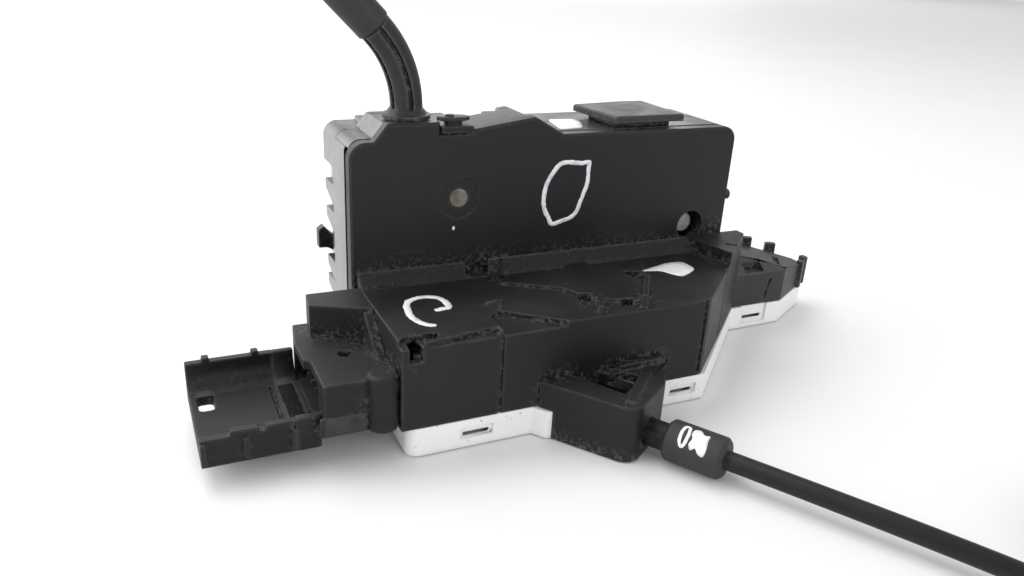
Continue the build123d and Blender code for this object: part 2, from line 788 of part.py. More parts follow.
def make_pawl():
    """Pawl with its tip just clear of the claw's rim and a fork for the release lever's pin."""
    tip_turn = math.degrees(math.atan2(tip_z - pawl_z, tip_x - pawl_x))
    reach = pawl_length - catch_play
    low = pawl_tip_height
    with BuildPart() as pawl:
        with BuildSketch(pivot(pawl_x, pawl_z, claw_back, tip_turn)):
            Circle(pawl_hub_radius)
            Polygon((reach, 0), (reach, low + pawl_strut - 1), (reach - 2, low + pawl_strut),
                    (0, pawl_hub_radius),
                    (0, -pawl_hub_radius), (reach * 0.35, -1.0), (reach - pawl_tip_width - 3, low),
                    (reach - pawl_tip_width, low), (reach - pawl_tip_width, 0), align=None)
        extrude(amount=claw_thickness)
        with BuildSketch(pivot(pawl_x, pawl_z, claw_back, pawl_tail_angle)):
            Polygon((0, pawl_hub_radius), (pawl_tail, 4.4), (pawl_tail + 5.5, 3.6), (pawl_tail + 5.5, -3.6),
                    (pawl_tail, -4.4), (0, -pawl_hub_radius), align=None)
        extrude(amount=claw_thickness)
        with BuildSketch(pivot(pawl_x, pawl_z, claw_back, pawl_tail_angle)):
            with Locations((pawl_tail + 0.7, 0)):
                SlotOverall(3.4 + 2 * train_pin_radius + 2 * train_play, 2 * train_pin_radius + 1.0)
            Circle(pawl_pin_radius + pin_play)
        extrude(amount=claw_thickness, mode=Mode.SUBTRACT)
    return pawl.part


def torsion_spring(x, z, mean_radius, wire, low, high, turns=3.25):
    """Helical spring around a pin along y."""
    pitch = (high - low - wire) / turns
    with BuildPart() as spring:
        with BuildLine():
            path = Helix(pitch, pitch * turns, mean_radius, center=spot(x, low + wire / 2, z),
                         direction=(0, 1, 0))
        with BuildSketch(Plane(origin=path @ 0, z_dir=path % 0)):
            Circle(wire / 2)
        sweep(is_frenet=True)
    return spring.part


def make_claw_spring():
    return torsion_spring(claw_x, claw_z, claw_pin_radius + 0.85, spring_wire, guard_back + 0.2,
                          claw_front - 0.3)


def make_pawl_spring():
    return torsion_spring(pawl_x, pawl_z, pawl_pin_radius + 0.85, spring_wire, guard_back + 0.2,
                          claw_front - 0.3)


def make_striker_buffer():
    with BuildPart() as block:
        with BuildSketch(upright(claw_front - mouth_clear)) as face:
            span(mouth_left + mouth_clear, mouth_right - mouth_clear, mouth_bottom - buffer_height,
                 mouth_bottom)
            fillet(face.vertices(), 1.2)
        extrude(amount=claw_front - mouth_clear - guard_back)
    return block.part


def make_release_lever():
    """Bell crank: the slider turns it, its side pin lifts the pawl's tail."""
    with BuildPart() as lever:
        with BuildSketch(pivot(pin_x, pin_z, release_back)):
            Circle(lever_hub_radius)
            Polygon((-4.5, 0), (-3.4, -lever_arm - 0.5), (3.4, -lever_arm - 0.5), (4.5, 0), align=None)
            disc(0, -lever_arm - 0.5, 3.4)
            Polygon((0, 5.2), (-pawl_drive_arm, 3.2), (-pawl_drive_arm, -3.2), (0, -5.2), align=None)
            disc(-pawl_drive_arm, 0, 3.2)
            Circle(pawl_pin_radius + pin_play, mode=Mode.SUBTRACT)
            with Locations((0, -lever_arm - 0.45)):
                SlotOverall(1.2 + 2 * train_pin_radius + 2 * train_play,
                            2 * (train_pin_radius + train_play),
                            rotation=90, mode=Mode.SUBTRACT)
        extrude(amount=lever_thickness)
        with BuildSketch(pivot(pin_x, pin_z, claw_back)):
            disc(-pawl_drive_arm, 0, train_pin_radius)
        extrude(amount=claw_back - release_back + 0.2)
    return lever.part


def make_release_slider():
    left = claw_x - 3.4
    right = pin_x + 2.6
    with BuildPart() as slider:
        with BuildSketch(upright(slider_back)):
            span(left, right, slider_low, slider_high)
            span(left, left + 6.8, slider_low, claw_z - outer_arm + 2.4)
        extrude(amount=slider_thickness)
        # fork for the inner lever
        with BuildSketch(level(base_height)):
            span(inner_x - 4.2, inner_x + 4.2, cover_back + 0.4, slider_front + 0.1)
            span(inner_x - train_pin_radius - train_play, inner_x + train_pin_radius + train_play,
                 cover_back, inner_y + inner_rear_arm + train_pin_radius + train_play, mode=Mode.SUBTRACT)
        extrude(amount=2.0)
        # drive pins to the outer lever and the release lever
        with BuildSketch(upright(slider_front + 0.1)):
            disc(claw_x, claw_z - outer_arm, train_pin_radius)
        extrude(amount=slider_front - outer_lever_front + 0.3)
        with BuildSketch(upright(release_back + 0.2)):
            disc(pin_x, pin_z - lever_arm, train_pin_radius)
        extrude(amount=release_back + 0.2 - slider_back + 0.1)
    return slider.part


def make_outer_lever():
    """Lever on the claw pin: the outside cable lifts its short arm, its long arm drives the slider."""
    hook = claw_x - guide_x
    with BuildPart() as lever:
        with BuildSketch(pivot(claw_x, claw_z, outer_lever_front + lever_thickness)):
            Circle(lever_hub_radius)
            Polygon((0, 5.5), (-hook, 4.2), (-hook, -4.2), (0, -5.5), align=None)
            disc(-hook, 0, 4.2)
            Polygon((-4.6, 0), (-3.4, -outer_arm - 0.5), (3.4, -outer_arm - 0.5), (4.6, 0), align=None)
            disc(0, -outer_arm - 0.5, 3.4)
            Circle(claw_pin_radius + pin_play, mode=Mode.SUBTRACT)
            with Locations((0, -outer_arm - 0.5)):
                SlotOverall(1.6 + 2 * train_pin_radius + 2 * train_play,
                            2 * (train_pin_radius + train_play),
                            rotation=90, mode=Mode.SUBTRACT)
            with Locations((-hook, 0)):
                SlotOverall(2 * nipple_radius + 2.0, 2 * (nipple_radius + train_play), mode=Mode.SUBTRACT)
            with Locations((-hook, 3.0)):
                Rectangle(3.6, 6.0, mode=Mode.SUBTRACT)
        extrude(amount=lever_thickness)
    return lever.part


def make_inner_lever():
    """Flat lever in the base: the inside cable turns it, its rear pin moves the slider."""
    with BuildPart() as lever:
        with BuildSketch(on_deck(inner_x, inner_y, inner_low, cable_angle - 90)):
            Circle(inner_pin_radius + 3.4)
            Polygon((0, 5.0), (inner_front_arm, 3.8), (inner_front_arm, -3.8), (0, -5.0), align=None)
            disc(inner_front_arm, 0, 3.8)
        extrude(amount=inner_thickness)
        with BuildSketch(level(inner_low)):
            Polygon((inner_x - 4.4, inner_y), (inner_x - 2.5, inner_y + inner_rear_arm),
                    (inner_x + 2.5, inner_y + inner_rear_arm), (inner_x + 4.4, inner_y), align=None)
            disc(inner_x, inner_y + inner_rear_arm, 2.5)
        extrude(amount=inner_thickness)
        with BuildSketch(level(inner_low)):
            disc(inner_x, inner_y + inner_rear_arm, train_pin_radius)
        extrude(amount=base_height + 2.6 - inner_low)
        with BuildSketch(on_deck(inner_x, inner_y, inner_low, cable_angle - 90)):
            Circle(inner_pin_radius + pin_play)
            with Locations((inner_front_arm - 0.4, 0)):
                SlotOverall(2 * nipple_radius + 1.8, 2 * (nipple_radius + 0.25))
            with Locations((inner_front_arm, 3.0)):
                Rectangle(3.6, 6.0)
        extrude(amount=inner_thickness, mode=Mode.SUBTRACT)
    return lever.part


def make_inner_lever_pin():
    with BuildPart() as pin:
        with BuildSketch(level(base_floor)):
            disc(inner_x, inner_y, inner_pin_radius)
        extrude(amount=carrier_low - 0.2 - base_floor)
    return pin.part


def make_inner_core():
    """Wire of the inside cable with its barrel nipple."""
    reach = math.hypot(cable_x - hook_x, cable_y - hook_y)
    with BuildPart() as core:
        with BuildSketch(level(inner_low - 1)):
            disc(hook_x, hook_y, nipple_radius)
        extrude(amount=inner_thickness + 2)
        with BuildSketch(across_cable(-reach)):
            Circle(wire_radius)
        extrude(amount=reach - boot_length - 4.0)
    return core.part


def make_outer_core():
    """Wire of the outside cable with its barrel nipple."""
    with BuildPart() as core:
        with BuildSketch(upright(slider_back - 0.3)):
            disc(guide_x, claw_z, nipple_radius)
        extrude(amount=slider_back - shell_front - 0.5)
        with BuildSketch(level(claw_z)):
            disc(guide_x, guide_y, wire_radius)
        extrude(amount=guide_top + 1.0 - claw_z)
    return core.part


def make_drive_motor():
    with BuildPart() as motor:
        with BuildSketch(side(motor_left)):
            with Locations((motor_y, motor_z)):
                Circle(motor_width / 2)
                Rectangle(motor_width, motor_height, mode=Mode.INTERSECT)
        extrude(amount=motor_length)
        with BuildSketch(side(motor_left + motor_length)):
            disc(motor_y, motor_z, 3.0)
        extrude(amount=1.4)
        with BuildSketch(side(motor_left)):
            disc(motor_y, motor_z, 3.4)
        extrude(amount=-1.6)
    return motor.part


def make_worm():
    """Single start worm on its shaft stub."""
    root = worm_radius - 0.65
    tip = worm_radius + 0.6
    low = 0.72
    high = 0.34
    with BuildPart() as worm:
        with BuildSketch(side(worm_left)):
            disc(motor_y, motor_z, root)
        extrude(amount=worm_length)
        with BuildSketch(side(motor_left + motor_length + 1.4)):
            disc(motor_y, motor_z, 1.2)
        extrude(amount=worm_length + worm_left - motor_left - motor_length - 1.4 + 1.5)
        # the thread starts where a gap of it faces the wheel's tooth
        turns = worm_length / worm_pitch - 1
        probe = Plane(origin=(0, 0, 0), z_dir=(1, 0, 0)).x_dir
        phase = math.atan2(probe.Z, probe.Y) / (2 * math.pi)
        gap = wheel_x - worm_pitch / 2 + phase * worm_pitch
        centre = spot(worm_left + 0.3 + (gap - worm_left - 0.3) % worm_pitch, motor_y, motor_z)
        with BuildLine():
            path = Helix(worm_pitch, worm_pitch * turns, root, center=centre, direction=(1, 0, 0))
        start = path @ 0
        outward = (start - Vector(start.X, centre.Y, centre.Z)).normalized()
        with BuildSketch(Plane(origin=start, x_dir=outward, z_dir=path % 0)):
            Polygon((-0.3, -low), (tip - root, -high), (tip - root, high), (-0.3, low), align=None)
        sweep(is_frenet=True)
    return worm.part


def tooth_ring(count, pitch_radius, depth_in, depth_out, half_root, half_tip):
    """Straight teeth around the open sketch's origin, with half widths at their root and tip."""
    with PolarLocations(0, count):
        Polygon((pitch_radius - depth_in - 0.4, -half_root), (pitch_radius + depth_out, -half_tip),
                (pitch_radius + depth_out, half_tip), (pitch_radius - depth_in - 0.4, half_root),
                align=None)


def make_worm_wheel():
    with BuildPart() as wheel:
        with BuildSketch(on_deck(wheel_x, wheel_y, wheel_low, -90.0)):
            Circle(wheel_pitch_radius - 0.9)
            tooth_ring(wheel_teeth, wheel_pitch_radius, 0.9, 0.5, 0.62, 0.26)
        extrude(amount=wheel_thickness)
        with BuildSketch(on_deck(wheel_x, wheel_y, wheel_high, -90.0)):
            Circle(pinion_radius - 1.1)
            tooth_ring(pinion_teeth, pinion_radius, 1.1, 0.8, 0.95, 0.42)
        extrude(amount=rack_height + 0.8)
        with BuildSketch(level(wheel_low - 1.0)):
            disc(wheel_x, wheel_y, 4.0)
        extrude(amount=1.0)
        with BuildSketch(level(wheel_low - 1.0)):
            disc(wheel_x, wheel_y, axle_radius + pin_play)
        extrude(amount=deck_top, mode=Mode.SUBTRACT)
    return wheel.part


def make_wheel_axle():
    with BuildPart() as axle:
        with BuildSketch(level(carrier_low)):
            disc(wheel_x, wheel_y, axle_radius)
        extrude(amount=deck_top - deck_wall - carrier_low + 0.5)
    return axle.part


def make_lock_slider():
    """Rack that the pinion moves, with a finger that reaches back to the release slider's side."""
    pitch = math.pi * pinion_module
    count = int((rack_right - rack_left) / pitch / 2)
    with BuildPart() as slider:
        with BuildSketch(level(rack_low)):
            span(rack_left, rack_right, rack_line + 1.25, rack_line + 1.25 + rack_width)
            for step in range(-count, count + 1):
                if abs(step) * pitch < (rack_right - rack_left) / 2 - 9:
                    centre = wheel_x + (step + 0.5) * pitch
                    Polygon((centre - 1.05, rack_line + 1.3), (centre - 0.42, rack_line - 0.75),
                            (centre + 0.42, rack_line - 0.75), (centre + 1.05, rack_line + 1.3), align=None)
        extrude(amount=rack_height)
    return slider.part


def make_circuit_carrier():
    with BuildPart() as carrier:
        with BuildSketch(level(carrier_low)) as plate:
            span(socket_right + deck_wall + 0.4, rack_right - 2.5, deck_wall + 0.4, box_front - 2.0)
            fillet(plate.vertices(), 2.0)
            disc(wheel_x, wheel_y, axle_radius + pin_play, mode=Mode.SUBTRACT)
        extrude(amount=carrier_thickness)
        # cradles under the motor, the wheel's bearing ring and the guides of the rack
        with BuildSketch(level(carrier_high)):
            for x in (motor_left + 3, motor_left + motor_length - 4.5):
                span(x, x + 1.5, motor_y - 8, motor_y + 8)
        extrude(amount=motor_z - motor_height / 2 - carrier_high - 0.1)
        with BuildSketch(level(carrier_high)):
            disc(wheel_x, wheel_y, axle_radius + 1.8)
            disc(wheel_x, wheel_y, axle_radius + pin_play, mode=Mode.SUBTRACT)
        extrude(amount=wheel_low - 1.3 - carrier_high)
        with BuildSketch(level(carrier_high)):
            span(rack_left + 1, rack_left + 3, rack_line + 1.6, rack_line + 3.6)
            span(rack_right - 12, rack_right - 10, rack_line + 1.6, rack_line + 3.6)
        extrude(amount=rack_low - carrier_high - 0.2)
    return carrier.part


def make_connector_socket():
    stepped = socket_left + socket_step
    with BuildPart() as socket:
        with BuildSketch(level(socket_low)):
            Polygon((stepped, socket_front), (socket_right, socket_front), (socket_right, socket_back),
                    (stepped, socket_back), (socket_left, 24.2), (socket_left, 15.8), (stepped, 14.9),
                    align=None)
        extrude(amount=socket_top - socket_low)
        # the front wall's underside rises towards the front
        with BuildSketch(side(socket_left)):
            Polygon((socket_front - 1, socket_low - 1), (socket_front + 5.2, socket_low - 1),
                    (socket_front + 5.2, socket_low), (socket_front, socket_low + 2.8),
                    (socket_front - 1, socket_low + 2.8), align=None)
        extrude(amount=socket_right - socket_left, mode=Mode.SUBTRACT)
        # the cavity that the plug enters from the left
        with BuildSketch(side(socket_left)):
            span(socket_front + socket_wall + 3, socket_back - socket_wall, socket_low + socket_wall,
                 socket_top - socket_wall)
        extrude(amount=socket_depth, mode=Mode.SUBTRACT)
        # domed boss at the front and the ledge at the back, with a dark hole between them
        with BuildSketch(level(boss_low)):
            disc(boss_x, boss_y, boss_radius)
        extrude(amount=boss_top - boss_low)
        dome = socket.edges().filter_by(GeomType.CIRCLE).sort_by(Axis.Z)[-1]
        fillet(dome, boss_dome)
        with BuildSketch(level(socket_top)):
            Polygon((-14.9, 26.6), (-4.8, 21.7), (socket_right, 20.6), (socket_right, socket_back - 1.2),
                    (-14.2, socket_back - 1.2), align=None)
        extrude(amount=deck_top - socket_top)
        with BuildSketch(level(socket_top)):
            disc(-9.4, 16.2, 1.6)
        extrude(amount=-1.8, mode=Mode.SUBTRACT)
        # slope from the ledge down to the deck's left edge
        with BuildSketch(side(socket_right)):
            Polygon((20.8, deck_top - 0.6), (20.8, socket_top), (10.0, socket_top), align=None)
        extrude(amount=-2.4)
    return socket.part


def make_connector_shroud():
    floor_top = tray_low + tray_floor
    with BuildPart() as tray:
        with BuildSketch(side(tray_left)):
            Polygon((tray_front, tray_low), (tray_back, tray_low), (tray_back, tray_back_top),
                    (tray_back - tray_wall, tray_back_top), (tray_back - tray_wall, floor_top),
                    (tray_front + tray_wall, floor_top), (tray_front + tray_wall, tray_front_top),
                    (tray_front, tray_front_top), align=None)
        extrude(amount=tray_right - tray_left)
        inner_corner = tray.edges().filter_by(Axis.X).sort_by_distance(
            spot((tray_left + tray_right) / 2, tray_back - tray_wall, floor_top))[0]
        fillet(inner_corner, tray_fillet)
        # window in the floor and a groove along the right edge
        with BuildSketch(level(tray_low)):
            with Locations((tray_left + 3.4, 27.0)):
                RectangleRounded(3.6, 8.4, 1.2)
        extrude(amount=tray_floor, mode=Mode.SUBTRACT)
        with BuildSketch(level(floor_top)):
            span(tray_right - 1.9, tray_right - 1.2, tray_front + tray_wall,
                 tray_back - tray_wall - tray_fillet)
        extrude(amount=-0.7, mode=Mode.SUBTRACT)
        # rails on the front wall, keying ribs on its outside, bumps on the back wall
        with BuildSketch(level(tray_front_top)):
            span(tray_left + 6.1, tray_left + 11.7, tray_front, tray_front + tray_wall)
            span(tray_left + 13.1, tray_right, tray_front, tray_front + tray_wall)
        extrude(amount=rail_height)
        for left in (tray_left, tray_left + 8.4, tray_right - 1.3):
            with BuildSketch(side(left)):
                span(tray_front - 1.0, tray_front + 0.1, tray_low + 1.2, tray_front_top - 0.6)
            extrude(amount=1.3)
        for left in (tray_left + 3.7, tray_left + 14.7):
            with BuildSketch(side(left)):
                span(tray_back - tray_wall, tray_back, tray_back_top, tray_back_top + rail_height)
            extrude(amount=1.6)
        # bridge that grips the socket
        with BuildSketch(side(tray_right)):
            span(tray_front + tray_wall, tray_back - tray_wall, tray_low, floor_top)
        extrude(amount=socket_left - tray_right)
    return tray.part


def make_connector_terminals():
    """Flat terminals in the socket, held in its rear wall."""
    with BuildPart() as terminals:
        with BuildSketch(side(socket_left + 3.0)):
            for place in range(5):
                for z in (10.5, 14.5):
                    with Locations((contact_row + place * contact_pitch, z)):
                        Rectangle(contact_size, contact_size)
        extrude(amount=socket_depth - 3.0)
    return terminals.part


def make_side_cover():
    left = box_right + 0.3
    step = slant_end_x + 0.2
    fall_start = left + 10
    slope_front = module_front - 1
    with BuildPart() as cover:
        with BuildSketch(level(case_top)):
            Polygon((step, module_front), (module_corner + 0.2, module_front),
                    (module_reach, module_nose_front),
                    (module_reach, module_nose_back), (module_back_end, module_back), (left, module_back),
                    (left, box_front + 0.2), (step, box_front + 0.2), align=None)
        extrude(amount=module_left_top - case_top)
        # the roof falls to the right and to the front
        with BuildSketch(upright(module_back + 1)):
            Polygon((fall_start, module_left_top), (module_reach + 1, module_right_top),
                    (module_reach + 1, module_left_top + 1), (fall_start, module_left_top + 1), align=None)
        extrude(amount=module_back + 2 - module_front, mode=Mode.SUBTRACT)
        with BuildSketch(side(step - 1)):
            Polygon((slope_front, module_front_top), (slope_front + 8, module_left_top + 0.4),
                    (slope_front, module_left_top + 1), align=None)
        extrude(amount=module_reach, mode=Mode.SUBTRACT)
        with BuildSketch(level(case_top)):
            Polygon((step + module_wall, module_front + module_wall),
                    (module_corner - 0.4, module_front + module_wall),
                    (module_reach - module_wall, module_nose_front + 1.2),
                    (module_reach - module_wall, module_nose_back - 1.0),
                    (module_back_end - 0.8, module_back - module_wall),
                    (left + module_wall, module_back - module_wall),
                    (left + module_wall, box_front + 2), (step + module_wall, box_front + 2), align=None)
        extrude(amount=module_cavity, mode=Mode.SUBTRACT)
        # recess in the front slope and a slanting groove on the front wall
        with BuildSketch(upright(module_front + 4.0)):
            span(window_left + 0.3, window_right - 2.3, module_recess_floor, module_left_top)
        extrude(amount=3.2, mode=Mode.SUBTRACT)
        with BuildSketch(upright(module_front + 0.8)):
            Polygon((window_right - 0.2, 15.4), (window_right + 0.8, 15.4), (window_right - 0.8, 8.4),
                    (window_right - 1.8, 8.4), align=None)
        extrude(amount=1.0, mode=Mode.SUBTRACT)
        # long slot and short slot in the roof
        with BuildSketch(on_deck(module_corner + 3.9, module_front + 8.5, module_slot_floor, 50.9)):
            Rectangle(13.8, 2.0)
        extrude(amount=module_left_top, mode=Mode.SUBTRACT)
        with BuildSketch(on_deck(module_back_end - 3.8, module_front + 15.2, module_left_top - 2.6, -14.0)):
            Rectangle(3.8, 2.8)
        extrude(amount=module_left_top, mode=Mode.SUBTRACT)
        # tabs behind the roof's edge and hooks at the right end
        with BuildSketch(level(module_right_top)):
            with Locations(Location((module_back_end + 7.6, module_back - 5.4), -28.0)):
                Rectangle(3.4, 2.2)
        extrude(amount=20.9 - module_right_top)
        with BuildSketch(level(module_right_top)):
            with Locations(Location((module_back_end + 14.6, module_back - 9.2), -28.0)):
                Rectangle(3.4, 2.2)
        extrude(amount=19.4 - module_right_top)
        with BuildSketch(level(case_top)):
            with Locations(Location((module_reach - 3.4, module_nose_front - 2.0), 30.0)):
                Rectangle(2.2, 2.2)
            span(module_reach - 0.1, right_reach, module_nose_front - 0.1, module_nose_front + 2.4)
        extrude(amount=end_hook_top - case_top)
    return cover.part


def make_cable_block():
    wall_gap = -bulge_depth - 0.1
    left_corner = (45.4, -20.1)
    right_corner = (58.8, -11.0)
    with BuildPart() as block:
        with BuildSketch(level(0)) as plan:
            Polygon((33.6, wall_gap), left_corner, right_corner, (63.6, wall_gap), align=None)
            for corner in (left_corner, right_corner):
                fillet(plan.vertices().sort_by_distance((*corner, 0))[0], block_corner_radius)
        extrude(amount=block_height)
        with BuildSketch(level(case_top)):
            Polygon((block_left, -0.1), (33.6, wall_gap - 0.1), (63.6, wall_gap - 0.1), (block_right, -0.1),
                    align=None)
        extrude(amount=block_height - case_top)
        with BuildSketch(level(block_height)):
            Polygon((51.5, -0.1), (51.5, -2.4), (64.8, -2.1), (64.8, -0.1), align=None)
        extrude(amount=block_ledge)
        with BuildSketch(level(block_height)):
            Polygon((47.6, -2.6), (52.4, -3.0), (55.7, -6.8), (53.0, -8.6), align=None)
        extrude(amount=-block_slot_depth, mode=Mode.SUBTRACT)
        # bore and open trough along the cable
        with BuildSketch(across_cable(-boot_length - neck_length + 0.1)):
            Circle(neck_radius)
        extrude(amount=-(boot_length + 16.0), mode=Mode.SUBTRACT)
        with BuildSketch(across_cable(-boot_length - neck_length - ferrule_inside)):
            with Locations((0, 6.5)):
                Rectangle(trough_width, 13.0)
        extrude(amount=-24.0, mode=Mode.SUBTRACT)
        # strap across the trough
        with BuildSketch(on_deck(51.3, -11.0, block_height - 4.0, 43.5)):
            Rectangle(strap_length, strap_width)
        extrude(amount=4.6)
    return block.part


def make_cable_ferrule():
    with BuildPart() as ferrule:
        with BuildSketch(across_cable(-boot_length)):
            Circle(neck_radius - 0.05)
            Circle(wire_radius + 0.35, mode=Mode.SUBTRACT)
        extrude(amount=-(neck_length + ferrule_inside))
    return ferrule.part


def make_cable_boot():
    with BuildPart() as boot:
        with BuildSketch(across_cable(-boot_length)):
            Circle(boot_radius)
        extrude(amount=boot_length)
        ends = boot.faces().filter_by(GeomType.PLANE)
        chamfer(ends.edges(), boot_chamfer)
        with BuildSketch(across_cable(-boot_length)):
            Circle(wire_radius + 0.35)
        extrude(amount=5.0, mode=Mode.SUBTRACT)
    return boot.part


def make_cable_guide():
    """Elbow for the outside cable: flange, grooved bend and spigot."""
    with BuildPart() as guide:
        with BuildSketch(level(shoulder_top)):
            disc(guide_x, guide_y, flange_radius)
        extrude(amount=flange_disc)
        with BuildSketch(level(shoulder_top + flange_disc)):
            disc(guide_x, guide_y, flange_collar)
        extrude(amount=flange_height - flange_disc, taper=35)
        with BuildLine(upright(guide_y)):
            JernArc(start=(guide_x, guide_top), tangent=(0, 1), radius=guide_bend, arc_size=guide_turn)
        with BuildSketch(level(guide_top)):
            with Locations((guide_x, guide_y)):
                Circle(guide_radius)
                with PolarLocations(guide_radius, 5, start_angle=-90):
                    Rectangle(3.0, guide_groove, mode=Mode.SUBTRACT)
        sweep()
        with BuildSketch(level(shoulder_top)):
            disc(guide_x, guide_y, spigot_radius)
        extrude(amount=-(shoulder_top - box_top + shell_wall))
        with BuildSketch(level(box_top - shell_wall)):
            disc(guide_x, guide_y, wire_radius + 0.35)
        extrude(amount=guide_top - box_top + shell_wall + 4.0, mode=Mode.SUBTRACT)
    return guide.part


def guide_end(distance):
    """Point and direction on the straight stretch after the guide's bend."""
    turn = math.radians(guide_turn)
    x = guide_x - guide_bend * (1 - math.cos(turn)) - distance * math.sin(turn)
    z = guide_top + guide_bend * math.sin(turn) + distance * math.cos(turn)
    return Plane(origin=spot(x, guide_y, z), x_dir=(0, 1, 0), z_dir=(-math.sin(turn), 0, math.cos(turn)))


def make_guide_sleeve():
    with BuildPart() as sleeve:
        with BuildSketch(guide_end(0)):
            Circle(sleeve_radius)
        extrude(amount=sleeve_length)
        chamfer(sleeve.faces().filter_by(GeomType.PLANE).edges(), 0.5)
    return sleeve.part


def tube(points, radius):
    """Cord along straight runs with tangent arcs, each as large as its runs allow."""
    radii = []
    for before, here, after in zip(points, points[1:], points[2:]):
        turn = math.radians((here - before).get_angle(after - here))
        run = min((here - before).length, (after - here).length)
        radii.append(0.45 * run / math.tan(turn / 2))
    print("cord radii", [round(value, 1) for value in radii])
    with BuildPart() as cord:
        with BuildLine() as route:
            if radii:
                FilletPolyline(*points, radius=radii)
            else:
                Line(*points)
        line = route.wires()[0]
        with BuildSketch(Plane(origin=line @ 0, z_dir=line % 0)):
            Circle(radius)
        sweep(path=line)
    return cord.part


def make_inner_cable():
    points = [along_cable(0), along_cable(lead_length), along_cable(coil_distance, cable_radius)]
    return tube(points, cable_radius)


def coil_middle():
    """Middle of the coil, on the ground."""
    return along_cable(coil_distance, 0) + Vector(-cable_dy, cable_dx, 0) * coil_radius


def coil_leave():
    """Plane on the coil's ring where the tail leaves it: its x points along the cord."""
    angle = math.radians(cable_angle + 360 * coil_turns)
    heading = Vector(math.cos(angle), math.sin(angle), 0)
    outward = Vector(heading.Y, -heading.X, 0)
    return Plane(origin=coil_middle() + outward * coil_radius, x_dir=heading, z_dir=(0, 0, 1))


def make_inner_cable_coil():
    with BuildPart() as coil:
        with BuildSketch(Plane(coil_middle())):
            Circle(coil_radius + cable_radius)
            Circle(coil_radius - cable_radius, mode=Mode.SUBTRACT)
        extrude(amount=4 * cable_radius)
    return coil.part


def tail_points():
    """Route of the cord from the coil's last turn to its end fitting."""
    leave = coil_leave()
    return [leave.from_local_coords((0, 0, 3 * cable_radius)),
            leave.from_local_coords((14.0, 0, neck_radius + 0.1)),
            leave.from_local_coords((28.0, -2.0, neck_radius))]


def make_inner_cable_tail():
    return tube(tail_points(), cable_radius)


def cable_end(start, heading):
    """End fitting of a cable: ferrule, wire and ball nipple."""
    with BuildPart() as fitting:
        with BuildSketch(Plane(origin=start, z_dir=heading)):
            Circle(neck_radius)
        extrude(amount=end_ferrule)
        with BuildSketch(Plane(origin=start + heading * end_ferrule, z_dir=heading)):
            Circle(wire_radius)
        extrude(amount=end_wire)
        with BuildSketch(Plane(origin=start + heading * (end_ferrule + end_wire - 1), z_dir=heading)):
            Circle(neck_radius - 0.6)
        extrude(amount=6.0)
    return fitting.part


def make_inner_cable_end():
    points = tail_points()
    heading = (points[-1] - points[-2]).normalized()
    level_heading = Vector(heading.X, heading.Y, 0).normalized()
    return cable_end(points[-1], level_heading)


def outer_cable_points():
    """Route of the outside cable from its sleeve's end."""
    leave = guide_end(sleeve_length)
    start = leave.origin
    bend = start + leave.z_dir * 24.0
    return [start, bend, bend + Vector(-24.0, 1.0, 5.0)]


def make_outer_cable():
    return tube(outer_cable_points(), cable_radius)


def make_outer_cable_end():
    points = outer_cable_points()
    return cable_end(points[-1], (points[-1] - points[-2]).normalized())


def make_top_cap():
    pad_low = pad_top - pad_thickness
    with BuildPart() as cap:
        with BuildSketch(level(pad_low)):
            Polygon((pad_left + 1, pad_front), (pad_right, pad_front + 0.4), (pad_right, pad_back),
                    (pad_right - 8, pad_back), (pad_left - 1.3, pad_back - 2.5), align=None)
        extrude(amount=pad_thickness)
        chamfer(cap.faces().sort_by(Axis.Z)[-1].edges(), 0.4)
        with BuildSketch(level(box_top)):
            span(pad_left + 3, pad_right - 2.5, pad_front + 3.5, pad_back - 4)
        extrude(amount=pad_low - box_top)
    return cap.part


def make_top_clip():
    """Clip in the notch of the box's top: a block, a neck and a flat oval head."""
    block_low = clip_notch_floor + 0.05
    centre = (shoulder_right + 4.1, box_front + 2.6)
    with BuildPart() as clip:
        with BuildSketch(level(block_low)):
            span(shoulder_right + 0.3, clip_notch_right - 0.1, box_front - 0.4, box_front + 9.0)
        extrude(amount=clip_block)
        with BuildSketch(level(block_low + clip_block)):
            disc(*centre, 2.2)
        extrude(amount=clip_neck)
        with BuildSketch(level(block_low + clip_block + clip_neck)):
            with Locations(centre):
                Ellipse(4.1, 2.4)
        extrude(amount=clip_head)
        with BuildSketch(level(block_low + clip_block + clip_neck + clip_head)):
            disc(centre[0] - 0.9, centre[1], 1.1)
        extrude(amount=clip_head / 2)
    return clip.part


def make_side_hook():
    """Black guide lip at the back of the left wall."""
    with BuildPart() as hook:
        with BuildSketch(upright(back_reach)):
            Polygon((-3.8, 27.4), (-3.8, 32.4), (-2.3, 33.5), (-0.6, 31.6), (4.4, 27.6), (4.4, 20.8),
                    (0.8, 22.8), (0.4, 26.2), (-1.4, 27.3), align=None)
        extrude(amount=side_hook_reach)
    return hook.part


def make_claw_switch():
    with BuildPart() as switch:
        with BuildSketch(side(shell_left + waist_inset + 1.8)):
            span(claw_front - 1.5, shell_inner_back - 0.1, claw_z - 6, claw_z + 6)
        extrude(amount=6.4)
        with BuildSketch(side(shell_left + waist_inset + 1.8 + 6.4 - 1.6)):
            disc(claw_front + 2, claw_z, 1.05)
        extrude(amount=1.6, mode=Mode.SUBTRACT)
    return switch.part


def make_claw_plunger():
    start = shell_left + waist_inset + 1.8 + 6.4 - 0.7
    with BuildPart() as plunger:
        with BuildSketch(side(start)):
            disc(claw_front + 2, claw_z, 1.0)
        extrude(amount=claw_x - claw_small_radius - 0.3 - start)
    return plunger.part


